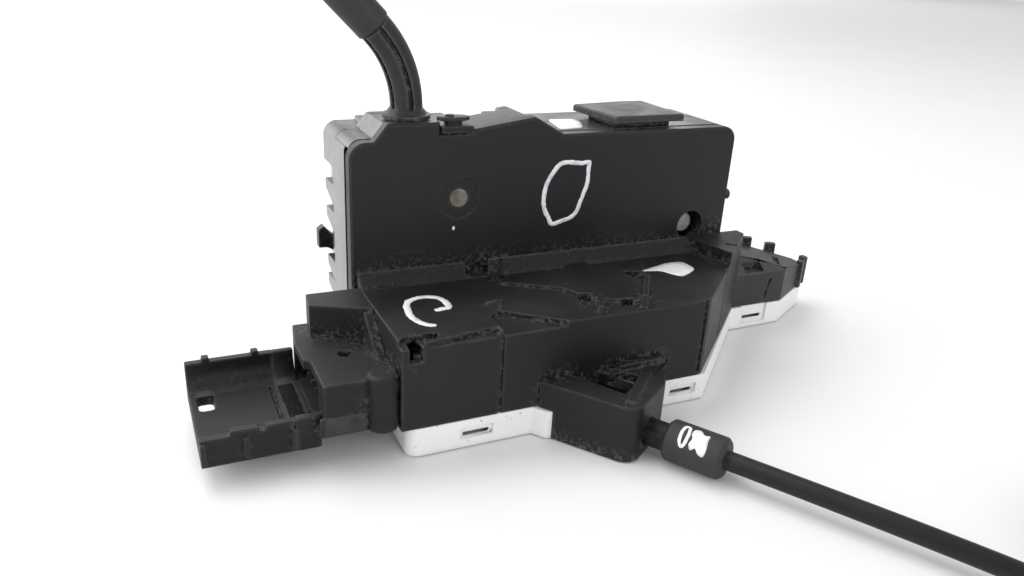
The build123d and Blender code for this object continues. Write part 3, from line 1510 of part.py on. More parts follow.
def make_lock_switch():
    with BuildPart() as switch:
        with BuildSketch(level(carrier_high)):
            span(rack_right + 1.6, rack_right + 7.6, 22.4, 33.4)
        extrude(amount=rack_low + rack_height - carrier_high)
        with BuildSketch(side(rack_right + 1.6)):
            disc(rack_line + 2.4, rack_low + 1.7, 1.05)
        extrude(amount=1.4, mode=Mode.SUBTRACT)
    return switch.part


def make_lock_plunger():
    with BuildPart() as plunger:
        with BuildSketch(side(rack_right + 0.3)):
            disc(rack_line + 2.4, rack_low + 1.7, 1.0)
        extrude(amount=1.9)
    return plunger.part


def make_cover_screws():
    """Three screws that hold the latch plate to the rear shell."""
    with BuildPart() as screws:
        with BuildSketch(upright(plate_back + 1.6)):
            for x, z in ((shell_left + 10.2, box_top - 7.5), (shell_right - 8.3, box_top - 5.5),
                         (shell_right - 9.3, case_top + 7.8)):
                disc(x, z, 3.0)
        extrude(amount=1.6)
    return screws.part


makers = {
    "base_shell": make_base_shell,
    "mechanism_cover": make_mechanism_cover,
    "front_cover": make_front_cover,
    "cover_gasket": make_cover_gasket,
    "rear_shell": make_rear_shell,
    "roof_front": make_roof_front,
    "striker_guard": make_striker_guard,
    "side_cover": make_side_cover,
    "top_cap": make_top_cap,
    "top_clip": make_top_clip,
    "side_hook": make_side_hook,
    "connector_socket": make_connector_socket,
    "connector_shroud": make_connector_shroud,
    "connector_terminals": make_connector_terminals,
    "latch_plate": make_latch_plate,
    "cover_screws": make_cover_screws,
    "claw_pin": make_claw_pin,
    "pawl_pin": make_pawl_pin,
    "release_pin": make_release_pin,
    "claw": make_claw,
    "pawl": make_pawl,
    "claw_spring": make_claw_spring,
    "pawl_spring": make_pawl_spring,
    "striker_buffer": make_striker_buffer,
    "release_lever": make_release_lever,
    "release_slider": make_release_slider,
    "outer_lever": make_outer_lever,
    "inner_lever": make_inner_lever,
    "inner_lever_pin": make_inner_lever_pin,
    "inner_core": make_inner_core,
    "outer_core": make_outer_core,
    "circuit_carrier": make_circuit_carrier,
    "drive_motor": make_drive_motor,
    "worm": make_worm,
    "worm_wheel": make_worm_wheel,
    "wheel_axle": make_wheel_axle,
    "lock_slider": make_lock_slider,
    "claw_switch": make_claw_switch,
    "claw_plunger": make_claw_plunger,
    "lock_switch": make_lock_switch,
    "lock_plunger": make_lock_plunger,
    "cable_block": make_cable_block,
    "cable_ferrule": make_cable_ferrule,
    "cable_boot": make_cable_boot,
    "cable_guide": make_cable_guide,
    "guide_sleeve": make_guide_sleeve,
    "inner_cable": make_inner_cable,
    "inner_cable_coil": make_inner_cable_coil,
    "inner_cable_tail": make_inner_cable_tail,
    "inner_cable_end": make_inner_cable_end,
    "outer_cable": make_outer_cable,
    "outer_cable_end": make_outer_cable_end,
}

os.makedirs("parts", exist_ok=True)
for name, maker in makers.items():
    piece = maker()
    piece.label = name
    export_step(piece, f"parts/{name}.step")
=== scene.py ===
"""Door latch with its lock actuator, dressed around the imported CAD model.

Places are given in millimetres from the base shell's front left corner, with x to the right along
its front wall, y away from it and z up, and place() turns them into metres in the shared frame.
"""

import json
import math
import random

import bmesh
import bpy
from mathutils import Matrix, Vector

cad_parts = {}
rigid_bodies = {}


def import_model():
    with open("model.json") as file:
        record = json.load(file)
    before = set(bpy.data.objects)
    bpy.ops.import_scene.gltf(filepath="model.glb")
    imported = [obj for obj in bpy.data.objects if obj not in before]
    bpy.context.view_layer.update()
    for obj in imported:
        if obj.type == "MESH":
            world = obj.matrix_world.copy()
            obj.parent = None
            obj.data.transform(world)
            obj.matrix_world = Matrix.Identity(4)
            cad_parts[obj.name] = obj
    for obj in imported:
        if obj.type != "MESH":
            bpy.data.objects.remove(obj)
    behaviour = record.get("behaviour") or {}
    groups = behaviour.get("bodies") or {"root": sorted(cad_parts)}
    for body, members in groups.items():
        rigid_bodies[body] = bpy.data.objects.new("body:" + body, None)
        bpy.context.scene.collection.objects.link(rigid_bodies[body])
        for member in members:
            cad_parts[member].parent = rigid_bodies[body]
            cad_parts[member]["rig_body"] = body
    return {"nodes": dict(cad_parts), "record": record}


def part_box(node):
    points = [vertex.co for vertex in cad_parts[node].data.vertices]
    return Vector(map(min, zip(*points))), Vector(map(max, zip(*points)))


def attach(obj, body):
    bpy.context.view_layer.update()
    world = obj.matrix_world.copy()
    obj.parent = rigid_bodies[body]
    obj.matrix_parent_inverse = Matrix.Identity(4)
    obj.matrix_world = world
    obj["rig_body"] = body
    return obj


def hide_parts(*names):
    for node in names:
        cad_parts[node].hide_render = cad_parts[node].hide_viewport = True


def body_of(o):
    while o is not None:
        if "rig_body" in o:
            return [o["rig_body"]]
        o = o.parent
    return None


MM = 0.001
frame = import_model()
nodes = frame["nodes"]
slot_of = {part["node"]: part["material_slot"] for part in frame["record"]["subparts"]}
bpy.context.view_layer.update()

# how far the base shell reaches left of its corner, and how far its bulge stands in front of it
REACH_LEFT = 2.2 * MM
BULGE_FRONT = 3.4 * MM
shell_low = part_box("base_shell")[0]
CORNER = Vector((shell_low[0] + REACH_LEFT, shell_low[1] + BULGE_FRONT, 0.0))

# surfaces that cuts and paint start from, in millimetres
DECK_TOP = 28.0
ROOF_TOP = 62.5
COVER_FRONT = 35.0

# the inner cable's way out of its block, level and in millimetres
CABLE_EXIT = (62.0, -31.3, 5.0)
CABLE_HEADING = math.radians(-59.1)
BOOT_RADIUS = 4.8


def place(x, y, z):
    """A place in millimetres beside the base shell's corner, in metres in the shared frame."""
    return CORNER + Vector((x, y, z)) * MM


def linked(name, data):
    """A new object in the scene."""
    made = bpy.data.objects.new(name, data)
    bpy.context.scene.collection.objects.link(made)
    return made


# ---------------------------------------------------------------- camera
EYE = (-49.12, -146.79, 105.0)
SIGHT_AZIMUTH = math.radians(26.194)
SIGHT_DOWN = math.radians(22.275)
SIGHT_ROLL = math.radians(-3.264)
LENS = 29.01
SENSOR = 36.0
NEAR_CLIP = 5 * MM


def make_camera():
    """The camera, turned from the y axis to the right, then down, then rolled about its sight line."""
    level = math.cos(SIGHT_DOWN)
    ahead = Vector((math.sin(SIGHT_AZIMUTH) * level, math.cos(SIGHT_AZIMUTH) * level, -math.sin(SIGHT_DOWN)))
    flat_right = ahead.cross(Vector((0, 0, 1))).normalized()
    flat_down = ahead.cross(flat_right)
    right = flat_right * math.cos(SIGHT_ROLL) + flat_down * math.sin(SIGHT_ROLL)
    down = flat_down * math.cos(SIGHT_ROLL) - flat_right * math.sin(SIGHT_ROLL)
    data = bpy.data.cameras.new("camera")
    data.lens = LENS
    data.sensor_width = SENSOR
    data.clip_start = NEAR_CLIP
    camera = linked("camera", data)
    turn = Matrix((right, -down, -ahead)).transposed()
    camera.matrix_world = Matrix.Translation(place(*EYE)) @ turn.to_4x4()
    bpy.context.scene.camera = camera


make_camera()


# ---------------------------------------------------------------- light
SKY_COLOUR = (0.93, 0.945, 0.96, 1)
SKY_STRENGTH = 0.72
WINDOW_COLOUR = (1.0, 0.995, 0.98)
LOW_AIM = (0, 0, 0.03)


def area_light(name, where, aim, size, power, colour=(1, 1, 1)):
    """A soft light, with its places and size in metres and its power in watts."""
    data = bpy.data.lights.new(name, "AREA")
    data.shape = "RECTANGLE"
    data.size, data.size_y = size
    data.energy = power
    data.color = colour
    light = linked(name, data)
    light.location = where
    light.rotation_euler = (Vector(aim) - Vector(where)).to_track_quat("-Z", "Y").to_euler()


area_light("overhead", (-0.3, 0.45, 1.0), (0, 0, 0), (0.9, 0.7), 7.0)
area_light("left window", (-1.0, 0.25, 0.5), LOW_AIM, (0.8, 0.7), 6.0, WINDOW_COLOUR)
area_light("front fill", (0.3, -1.1, 0.6), LOW_AIM, (0.8, 0.6), 3.6)
# far behind the object, for reflections at a grazing angle
area_light("bright wall", (-0.1, 2.9, 0.9), (-0.1, 0.0, 0.45), (5.2, 1.5), 40.0)

world = bpy.data.worlds.new("studio")
bpy.context.scene.world = world
world.use_nodes = True
sky = world.node_tree.nodes["Background"].inputs
sky["Color"].default_value = SKY_COLOUR
sky["Strength"].default_value = SKY_STRENGTH
bpy.context.scene.view_settings.view_transform = "Standard"


# ---------------------------------------------------------------- materials
class Shader:
    """A node material around one Principled shader, whose textures use object coordinates."""

    def __init__(self, name):
        self.material = bpy.data.materials.new(name)
        self.material.use_nodes = True
        self.tree = self.material.node_tree
        self.surface = self.tree.nodes["Principled BSDF"]
        self.where = self.node("ShaderNodeTexCoord").outputs["Object"]

    def node(self, kind, **settings):
        """A new shader node with its settings."""
        made = self.tree.nodes.new(kind)
        for key, value in settings.items():
            setattr(made, key, value)
        return made

    def link(self, source, target):
        self.tree.links.new(source, target)

    def fix(self, **values):
        """Set sockets of the Principled shader, by names with underscores."""
        for key, value in values.items():
            self.surface.inputs[key.replace("_", " ")].default_value = value

    def noise(self, scale, detail=3.0, roughness=0.55, stretch=None):
        """Noise from 0 to 1 with scale waves to the metre, drawn out along axes whose stretch is under 1."""
        made = self.node("ShaderNodeTexNoise")
        made.inputs["Scale"].default_value = scale
        made.inputs["Detail"].default_value = detail
        made.inputs["Roughness"].default_value = roughness
        source = self.where
        if stretch:
            mapping = self.node("ShaderNodeMapping")
            mapping.inputs["Scale"].default_value = stretch
            self.link(source, mapping.inputs["Vector"])
            source = mapping.outputs["Vector"]
        self.link(source, made.inputs["Vector"])
        return made.outputs["Fac"]

    def band(self, value, low, high, out_low=0.0, out_high=1.0):
        """Map a value from one range to another, held at its ends."""
        made = self.node("ShaderNodeMapRange")
        ends = {"From Min": low, "From Max": high, "To Min": out_low, "To Max": out_high}
        for key, number in ends.items():
            made.inputs[key].default_value = number
        self.link(value, made.inputs["Value"])
        return made.outputs["Result"]

    def math(self, operation, a, b):
        """A sum or product of sockets or numbers."""
        made = self.node("ShaderNodeMath", operation=operation)
        for socket, value in zip(made.inputs, (a, b)):
            if isinstance(value, (int, float)):
                socket.default_value = value
            else:
                self.link(value, socket)
        return made.outputs[0]

    def mix(self, factor, first, second):
        """A colour between two colours or sockets."""
        made = self.node("ShaderNodeMix", data_type="RGBA")
        for key, value in (("Factor", factor), ("A", first), ("B", second)):
            socket = [s for s in made.inputs if s.name == key and s.enabled][0]
            if isinstance(value, (int, float)):
                socket.default_value = value
            elif isinstance(value, tuple):
                socket.default_value = (*value, 1.0)
            else:
                self.link(value, socket)
        return [s for s in made.outputs if s.enabled][0]

    def bump(self, height, distance, strength):
        """Fine surface grain, as deep as distance in metres."""
        made = self.node("ShaderNodeBump")
        made.inputs["Strength"].default_value = strength
        made.inputs["Distance"].default_value = distance
        self.link(height, made.inputs["Height"])
        self.link(made.outputs["Normal"], self.surface.inputs["Normal"])

    def facing(self, axis, low=0.3, high=1.0):
        """How far the surface faces along an axis, from 0 to 1."""
        apart = self.node("ShaderNodeSeparateXYZ")
        self.link(self.node("ShaderNodeNewGeometry").outputs["Normal"], apart.inputs[0])
        return self.band(apart.outputs[axis], low, high)

    def corners(self, distance):
        """How far a point lies in an inner corner, from 0 to 1."""
        shade = self.node("ShaderNodeAmbientOcclusion", samples=6)
        shade.inputs["Distance"].default_value = distance
        return self.band(shade.outputs["AO"], 0.55, 0.9, 1.0, 0.0)

    def ridges(self, distance):
        """How close a point lies to an outer edge, from 0 to 1."""
        shade = self.node("ShaderNodeAmbientOcclusion", samples=6, inside=True)
        shade.inputs["Distance"].default_value = distance
        return self.band(shade.outputs["AO"], 0.95, 0.6)


DUST_FILM = (0.13, 0.128, 0.122)
DUST_CRUMB = (0.135, 0.13, 0.12)
DUST_SPECK = (0.26, 0.25, 0.23)
# lighter grey of outer edges, partly worn plastic and partly a painted highlight
EDGE_HIGHLIGHT_AND_WEAR = (0.075, 0.075, 0.076)
# grey of the painted sheen, a reflection painted on walls that face left
PAINTED_SHEEN_GREY = (0.34, 0.34, 0.335)
SEALANT = (0.003, 0.003, 0.003)
SEALANT_FADE = 0.4 * MM
EDGE_LIGHT_REACH = 0.7 * MM


def shades(tone, *shares):
    """A colour from one grey tone and its share in red, green and blue."""
    return tuple(tone * share for share in shares)


def moulded_black(name, tone=0.0085, roughness=0.44, grain=0.00005, dust=0.4, painted_sheen=0.0, gloss=0.3,
                  edge_light_and_wear=0.5, crumb_reach=0.005, seam=None):
    """Black moulded plastic: grain, wiped patches, faint scratches, dust on top and in corners, and outer
    edges made lighter, partly worn and partly a painted highlight.

    The painted sheen setting is a grey reflection painted on the walls that face left, crumb_reach how far
    dust lies out from a corner, and seam the y up to which sealant blackens the piece.
    """
    s = Shader(name)
    patches = s.noise(38.0, 4.0, 0.6)
    fine = s.noise(310.0, 5.0, 0.65)
    scratches = s.noise(520.0, 2.0, 0.5, (0.09, 0.5, 1.0))
    scratch = s.math("MULTIPLY", s.band(scratches, 0.68, 0.74, 0.0, 0.22),
                     s.band(patches, 0.42, 0.6))
    speck = s.band(s.noise(1500.0, 2.0), 0.68, 0.76)
    settled = s.math("MULTIPLY", s.facing("Z"), s.band(patches, 0.35, 0.75, 0.2, 1.0))
    dusty = s.math("MULTIPLY", settled, dust)
    crumbs = s.math("MULTIPLY", s.corners(crumb_reach),
                    s.band(s.noise(900.0, 4.0, 0.7), 0.5, 0.58, 0.0, min(1.0, dust * 1.8)))
    # outer edges made lighter: partly worn, partly a painted highlight where gloss on a rounded edge catches
    # the light
    lit_and_worn_edges = s.math("MULTIPLY", s.ridges(EDGE_LIGHT_REACH), s.band(fine, 0.35, 0.6, edge_light_and_wear * 0.35, edge_light_and_wear))
    body = s.mix(patches, shades(tone, 0.75, 0.73, 0.85), shades(tone, 1.35, 1.3, 1.45))
    body = s.mix(scratch, body, shades(tone, 4.0, 4.0, 3.9))
    body = s.mix(s.math("MULTIPLY", dusty, 0.22), body, DUST_FILM)
    body = s.mix(crumbs, body, DUST_CRUMB)
    body = s.mix(lit_and_worn_edges, body, EDGE_HIGHLIGHT_AND_WEAR)
    body = s.mix(s.math("MULTIPLY", speck, s.math("MULTIPLY", dusty, 1.2)), body, DUST_SPECK)
    # painted sheen: grey light painted on the walls that face left, where the black plastic reflects light
    # at a grazing angle
    if painted_sheen:
        film = s.math("MULTIPLY", s.facing("X", -0.35, -0.95), s.band(fine, 0.25, 0.7, painted_sheen * 0.75, painted_sheen))
        body = s.mix(film, body, PAINTED_SHEEN_GREY)
    if seam:
        depth = s.node("ShaderNodeSeparateXYZ")
        s.link(s.where, depth.inputs[0])
        clear = s.band(depth.outputs["Y"], seam, seam + SEALANT_FADE)
        body = s.mix(clear, SEALANT, body)
        s.link(s.math("MULTIPLY", clear, gloss), s.surface.inputs["Specular IOR Level"])
    else:
        s.fix(Specular_IOR_Level=gloss)
    s.link(body, s.surface.inputs["Base Color"])
    rough = s.math("ADD", s.band(patches, 0.3, 0.7, roughness - 0.06, roughness + 0.1),
                   s.math("MULTIPLY", dusty, 0.2))
    s.link(rough, s.surface.inputs["Roughness"])
    s.bump(s.noise(3200.0, 3.0, 0.6), grain, 0.5)
    return s.material


def moulded_pale(name):
    """Off-white moulded plastic with grey handling marks, dirty blotches, and darkening in its inner
    corners.
    """
    s = Shader(name)
    patches = s.noise(55.0, 5.0, 0.62)
    # dirty blotches at random, and darker in inner corners
    grime_and_corner_darkening = s.math("ADD", s.band(s.noise(130.0, 6.0, 0.7), 0.58, 0.74, 0.0, 0.3),
                   s.math("MULTIPLY", s.corners(0.002), 0.45))
    speck = s.band(s.noise(900.0, 2.0), 0.7, 0.76, 0.0, 0.7)
    body = s.mix(patches, (0.86, 0.865, 0.85), (0.93, 0.935, 0.93))
    body = s.mix(grime_and_corner_darkening, body, (0.55, 0.53, 0.48))
    body = s.mix(speck, body, (0.2, 0.18, 0.15))
    s.link(body, s.surface.inputs["Base Color"])
    s.link(s.band(patches, 0.3, 0.7, 0.38, 0.52), s.surface.inputs["Roughness"])
    s.bump(s.noise(2600.0, 3.0, 0.6), 0.00004, 0.4)
    return s.material


def soft_rubber(name, tone=0.014, bloomed=0.35):
    """Dull black rubber with a grey bloom in places."""
    s = Shader(name)
    patches = s.noise(120.0, 4.0, 0.6)
    bloom = s.band(s.noise(260.0, 5.0, 0.7), 0.55, 0.75, 0.0, bloomed)
    body = s.mix(patches, shades(tone, 1.0, 1.0, 1.0), shades(tone, 1.8, 1.75, 1.7))
    body = s.mix(bloom, body, (0.06, 0.058, 0.054))
    s.link(body, s.surface.inputs["Base Color"])
    s.link(s.band(patches, 0.3, 0.7, 0.5, 0.68), s.surface.inputs["Roughness"])
    s.bump(s.noise(2200.0, 4.0, 0.65), 0.00008, 0.5)
    return s.material


def worn_metal(name, colour, dark, roughness=0.34, stain=0.4):
    """Plated or turned metal with brushed lines and brown stains."""
    s = Shader(name)
    lines = s.noise(900.0, 3.0, 0.6, (0.05, 1.0, 1.0))
    stains = s.band(s.noise(190.0, 5.0, 0.65), 0.48, 0.7, 0.0, stain)
    body = s.mix(lines, dark, colour)
    body = s.mix(stains, body, (0.13, 0.085, 0.05))
    s.link(body, s.surface.inputs["Base Color"])
    s.fix(Metallic=0.9)
    rough = s.math("ADD", s.band(lines, 0.3, 0.7, roughness - 0.06, roughness + 0.08),
                   s.math("MULTIPLY", stains, 0.3))
    s.link(rough, s.surface.inputs["Roughness"])
    s.bump(lines, 0.00004, 0.4)
    return s.material


materials = {
    "white_shell": moulded_pale("pale shell"),
    "black_shell": moulded_black("black moulding"),
    "black_gloss": moulded_black("smooth black moulding", 0.0075, 0.28, 0.00002, 0.2),
    "seal": soft_rubber("seal", 0.003, 0.03),
    "black_rubber": soft_rubber("black rubber"),
    "plated_steel": worn_metal("plated steel", (0.62, 0.6, 0.53), (0.42, 0.41, 0.37), 0.36, 0.3),
    "pin_steel": worn_metal("pin steel", (0.3, 0.28, 0.25), (0.14, 0.125, 0.105), 0.45, 0.75),
    "spring_steel": worn_metal("spring steel", (0.42, 0.42, 0.44), (0.25, 0.25, 0.27), 0.3, 0.2),
    "cable_sheath": moulded_black("cable sheath", 0.008, 0.36, 0.00003, 0.12),
    "wire_steel": worn_metal("wire steel", (0.6, 0.6, 0.61), (0.4, 0.4, 0.42), 0.3, 0.15),
    "gear_plastic": moulded_pale("natural acetal"),
    "motor_steel": worn_metal("motor can", (0.66, 0.67, 0.69), (0.5, 0.51, 0.53), 0.28, 0.1),
    "brass_worm": worn_metal("brass", (0.75, 0.55, 0.25), (0.55, 0.38, 0.16), 0.28, 0.2),
    "board": moulded_black("carrier moulding", 0.016, 0.5),
    "terminal_tin": worn_metal("tinned terminal", (0.4, 0.39, 0.36), (0.25, 0.24, 0.22), 0.4, 0.2),
}

# pieces whose finish differs from that of their slot
SEALANT_WIDTH = 2.2 * MM
shell_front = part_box("rear_shell")[0][1]
special = {
    # the shell and the roof front carry a painted sheen, a grey reflection painted on their walls that face
    # left
    "rear_shell": moulded_black("black moulding with painted sheen", 0.0095, 0.36, 0.00004, 0.6, painted_sheen=0.72, gloss=0.45,
                                seam=shell_front + SEALANT_WIDTH),
    "roof_front": moulded_black("roof moulding with painted sheen", 0.0095, 0.36, 0.00004, 0.6, painted_sheen=0.72, gloss=0.45),
    "front_cover": moulded_black("smooth cover moulding", 0.0095, 0.4, 0.00002, 0.42, crumb_reach=0.008),
    "top_cap": moulded_black("dusty cap moulding", 0.014, 0.4, 0.00006, 1.5, gloss=0.5),
    "side_cover": moulded_black("dusty end moulding", 0.015, 0.42, 0.00006, 3.6, gloss=0.45),
    "connector_socket": moulded_black("dusty connector moulding", 0.0075, 0.5, 0.00008, 0.35),
    # the guide's outer edges are made lighter still, partly worn and partly a painted highlight
    "cable_guide": moulded_black("guide moulding with lit and worn edges", 0.012, 0.42, dust=0.8, gloss=0.4, edge_light_and_wear=0.8),
    # the ferrule is a darker black than the other mouldings
    "cable_ferrule": moulded_black("extra dark ferrule moulding", 0.003, 0.5, 0.00004, 0.1, edge_light_and_wear=0.2),
    # the pin end is lighter than pin steel: painted light that makes up for the shade in the well around it
    "release_pin": worn_metal("pin end lightened against shade", (0.62, 0.61, 0.62), (0.4, 0.39, 0.39), 0.5, 0.3),
}
special["connector_shroud"] = special["connector_socket"]


def dress(obj, node):
    """Give a piece its node's material."""
    obj.data.materials.clear()
    obj.data.materials.append(special.get(node, materials[slot_of[node]]))


for node, obj in nodes.items():
    dress(obj, node)


# ---------------------------------------------------------------- shells with rounded edges
WELD = 0.001 * MM
# edges that bend more than this are rounded, and faces that bend less than this are joined
EDGE_ANGLE = math.radians(24)
FLAT_ANGLE = math.radians(0.6)
# the share of a neighbouring edge that a rounding may take, unless that edge runs on in the same line
ROOM_SHARE = 0.42
SAME_LINE = 0.85
ROUNDING = {
    "base_shell": 0.35, "mechanism_cover": 0.28, "front_cover": 0.14, "rear_shell": 0.4, "roof_front": 0.3,
    "side_cover": 0.35, "connector_socket": 0.3, "connector_shroud": 0.3, "cable_block": 0.4,
    "top_cap": 0.18, "top_clip": 0.18, "side_hook": 0.3, "cable_guide": 0.16, "cable_boot": 0.6,
    "guide_sleeve": 0.5, "latch_plate": 0.25, "claw": 0.25, "pawl": 0.25, "claw_pin": 0.2,
    "release_pin": 0.2, "pawl_pin": 0.2, "cover_screws": 0.25, "inner_cable_end": 0.4,
    "outer_cable_end": 0.4, "cable_ferrule": 0.3,
}
# shells whose joined faces are split into triangles again, because notches and holes make them concave
FACETED = ("mechanism_cover", "connector_socket", "connector_shroud", "cable_guide", "cable_block",
           "top_clip", "base_shell", "side_cover")


def weigh_edges(mesh, width, faceted):
    """Join flat faces and give each sharp edge the rounding that its neighbours leave room for."""
    work = bmesh.new()
    work.from_mesh(mesh)
    bmesh.ops.remove_doubles(work, verts=work.verts, dist=WELD)
    bmesh.ops.dissolve_limit(work, angle_limit=FLAT_ANGLE, verts=work.verts, edges=work.edges)
    if faceted:
        many_sided = [face for face in work.faces if len(face.verts) > 4]
        bmesh.ops.triangulate(work, faces=many_sided, ngon_method="BEAUTY")
    weight = work.edges.layers.float.new("bevel_weight_edge")
    for edge in work.edges:
        if len(edge.link_faces) != 2 or edge.calc_face_angle(0.0) < EDGE_ANGLE:
            continue
        room = width
        for vert in edge.verts:
            along = (edge.other_vert(vert).co - vert.co).normalized()
            for other in vert.link_edges:
                reach = other.other_vert(vert).co - vert.co
                if other is not edge and abs(along.dot(reach.normalized())) < SAME_LINE:
                    room = min(room, reach.length * ROOM_SHARE)
        edge[weight] = room / width
    for face in work.faces:
        face.smooth = True
    work.to_mesh(mesh)
    work.free()


def add_rounding(obj, width):
    """Round the weighed edges of an object."""
    rounding = obj.modifiers.new("rounding", "BEVEL")
    rounding.width = width
    rounding.segments = 2
    rounding.limit_method = "WEIGHT"
    return rounding


def prism(name, points, low, high, upright=True):
    """A closed solid: points in plan from low to high, or where it isn't upright, y and z points along x."""
    count = len(points)
    ends = [(a, b, c) for c in (low, high) for a, b in points]
    places = [place(a, b, c) if upright else place(c, a, b) for a, b, c in ends]
    faces = [list(range(count))[::-1], list(range(count, 2 * count))]
    faces += [[i, (i + 1) % count, count + (i + 1) % count, count + i] for i in range(count)]
    mesh = bpy.data.meshes.new(name)
    mesh.from_pydata(places, [], faces)
    return mesh


def carved(mesh, cutters):
    """A copy of the mesh with the cutters' volumes taken out."""
    body = linked("carved", mesh.copy())
    made = [body]
    for cutter in cutters:
        tool = linked(cutter.name, cutter)
        made.append(tool)
        cut = body.modifiers.new("cut", "BOOLEAN")
        cut.operation = "DIFFERENCE"
        cut.solver = "EXACT"
        cut.object = tool
    bpy.context.view_layer.update()
    scene_now = bpy.context.evaluated_depsgraph_get()
    result = bpy.data.meshes.new_from_object(body.evaluated_get(scene_now))
    for obj in made:
        bpy.data.objects.remove(obj)
    return result


def ring_points(x, y, radius, count=20):
    """Points on a circle in plan."""
    turns = [2 * math.pi * i / count for i in range(count)]
    return [(x + radius * math.cos(turn), y + radius * math.sin(turn)) for turn in turns]


# the open corner of the deck beside the connector, and the round hole next to it
CUT_TOP = DECK_TOP + 1.0
SLOT_OUTLINE = [(0.3, -0.6), (3.25, -0.6), (3.3, 2.3), (2.7, 4.8), (0.6, 3.9)]
SLOT_FLOOR = 23.4
HOLE_MIDDLE = (5.8, 3.0)
HOLE_RADIUS = 1.55
HOLE_FLOOR = 26.4
CARVING = {
    "mechanism_cover": [
        prism("corner slot", SLOT_OUTLINE, SLOT_FLOOR, CUT_TOP),
        prism("deck hole", ring_points(*HOLE_MIDDLE, HOLE_RADIUS), HOLE_FLOOR, CUT_TOP)],
}


def rounded_skin(node, width):
    """A piece that stands for a node, with its sharp edges rounded."""
    mesh = nodes[node].data
    mesh = carved(mesh, CARVING[node]) if node in CARVING else mesh.copy()
    skin = linked(node + "_skin", mesh)
    weigh_edges(skin.data, width, node in FACETED)
    rounding = add_rounding(skin, width)
    rounding.use_clamp_overlap = False
    rounding.loop_slide = False
    rounding.face_strength_mode = "FSTR_ALL"
    shading = skin.modifiers.new("shading", "WEIGHTED_NORMAL")
    shading.use_face_influence = True
    dress(skin, node)
    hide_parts(node)
    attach(skin, body_of(nodes[node])[0])
    return skin


skins = {node: rounded_skin(node, width * MM) for node, width in ROUNDING.items()}


# ---------------------------------------------------------------- collar between tray and socket
COLLAR_SECTION = [(4.4, 4.6), (35.2, 4.0), (35.4, 14.0), (33.6, 14.0), (33.5, 12.2), (32.6, 9.6),
                  (31.3, 8.2), (29.0, 7.5), (7.4, 7.5), (6.5, 8.4), (6.4, 12.4), (4.4, 12.4)]
COLLAR_SPAN = (-22.9, -17.7)
SLEEVE_SECTION = [(2.1, 8.0), (2.8, 8.0), (2.8, 12.6), (2.1, 12.6)]
SLEEVE_SPAN = (-18.4, -8.5)
COLLAR_ROUNDING = 0.35 * MM


def make_collar():
    """The tray's walls carried on into the socket, and the sleeve's low front wall."""
    work = bmesh.new()
    shells = (prism("collar", COLLAR_SECTION, *COLLAR_SPAN, upright=False),
              prism("sleeve", SLEEVE_SECTION, *SLEEVE_SPAN, upright=False))
    for shell in shells:
        work.from_mesh(shell)
        bpy.data.meshes.remove(shell)
    mesh = bpy.data.meshes.new("connector_collar")
    work.to_mesh(mesh)
    work.free()
    weigh_edges(mesh, COLLAR_ROUNDING, False)
    collar = linked("connector_collar", mesh)
    add_rounding(collar, COLLAR_ROUNDING)
    mesh.materials.append(special["connector_socket"])
    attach(collar, "housing")


make_collar()


# ---------------------------------------------------------------- marker paint
def white_paint():
    """Brushed white marker paint, thinner and bluish in patches."""
    s = Shader("white marker paint")
    body = s.mix(s.band(s.noise(420.0, 3.0), 0.52, 0.7), (0.86, 0.865, 0.87), (0.6, 0.63, 0.72))
    s.link(body, s.surface.inputs["Base Color"])
    s.link(s.band(s.noise(700.0, 3.0), 0.3, 0.7, 0.35, 0.55), s.surface.inputs["Roughness"])
    s.bump(s.noise(900.0, 3.0), 0.00005, 0.5)
    return s.material


PAINT = white_paint()
PAINT_THICK = 0.12
UNEVEN = (0.86, 1.14)


def smooth_line(points, closed, steps=5):
    """Catmull-Rom points through a hand-drawn line."""
    count = len(points)
    made = []
    for i in range(count if closed else count - 1):
        picks = [(i + k) % count if closed else min(max(i + k, 0), count - 1) for k in (-1, 0, 1, 2)]
        a, b, c, d = (Vector(points[k]) for k in picks)
        for step in range(steps):
            u = step / steps
            made.append(0.5 * (2 * b + (c - a) * u + (2 * a - 5 * b + 4 * c - d) * u * u
                               + (3 * b - a - 3 * c + d) * u ** 3))
    if not closed:
        made.append(Vector(points[-1]))
    return made


def paint_piece(name, rings, faces, lift):
    """A thin film of paint: rings are its flat points, lift puts a point and a height on the surface."""
    work = bmesh.new()
    low = [work.verts.new(lift(p, 0.0)) for p in rings]
    high = [work.verts.new(lift(p, PAINT_THICK)) for p in rings]
    for face in faces:
        work.faces.new([high[i] for i in face])
        work.faces.new([low[i] for i in reversed(face)])
    edges = [pair for face in faces for pair in zip(face, face[1:] + face[:1])]
    shared = set(edges)
    for a, b in edges:
        if (b, a) not in shared:
            work.faces.new([high[b], high[a], low[a], low[b]])
    bmesh.ops.recalc_face_normals(work, faces=work.faces)
    for face in work.faces:
        face.smooth = True
    mesh = bpy.data.meshes.new(name)
    work.to_mesh(mesh)
    work.free()
    mesh.materials.append(PAINT)
    film = linked(name, mesh)
    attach(film, "housing")


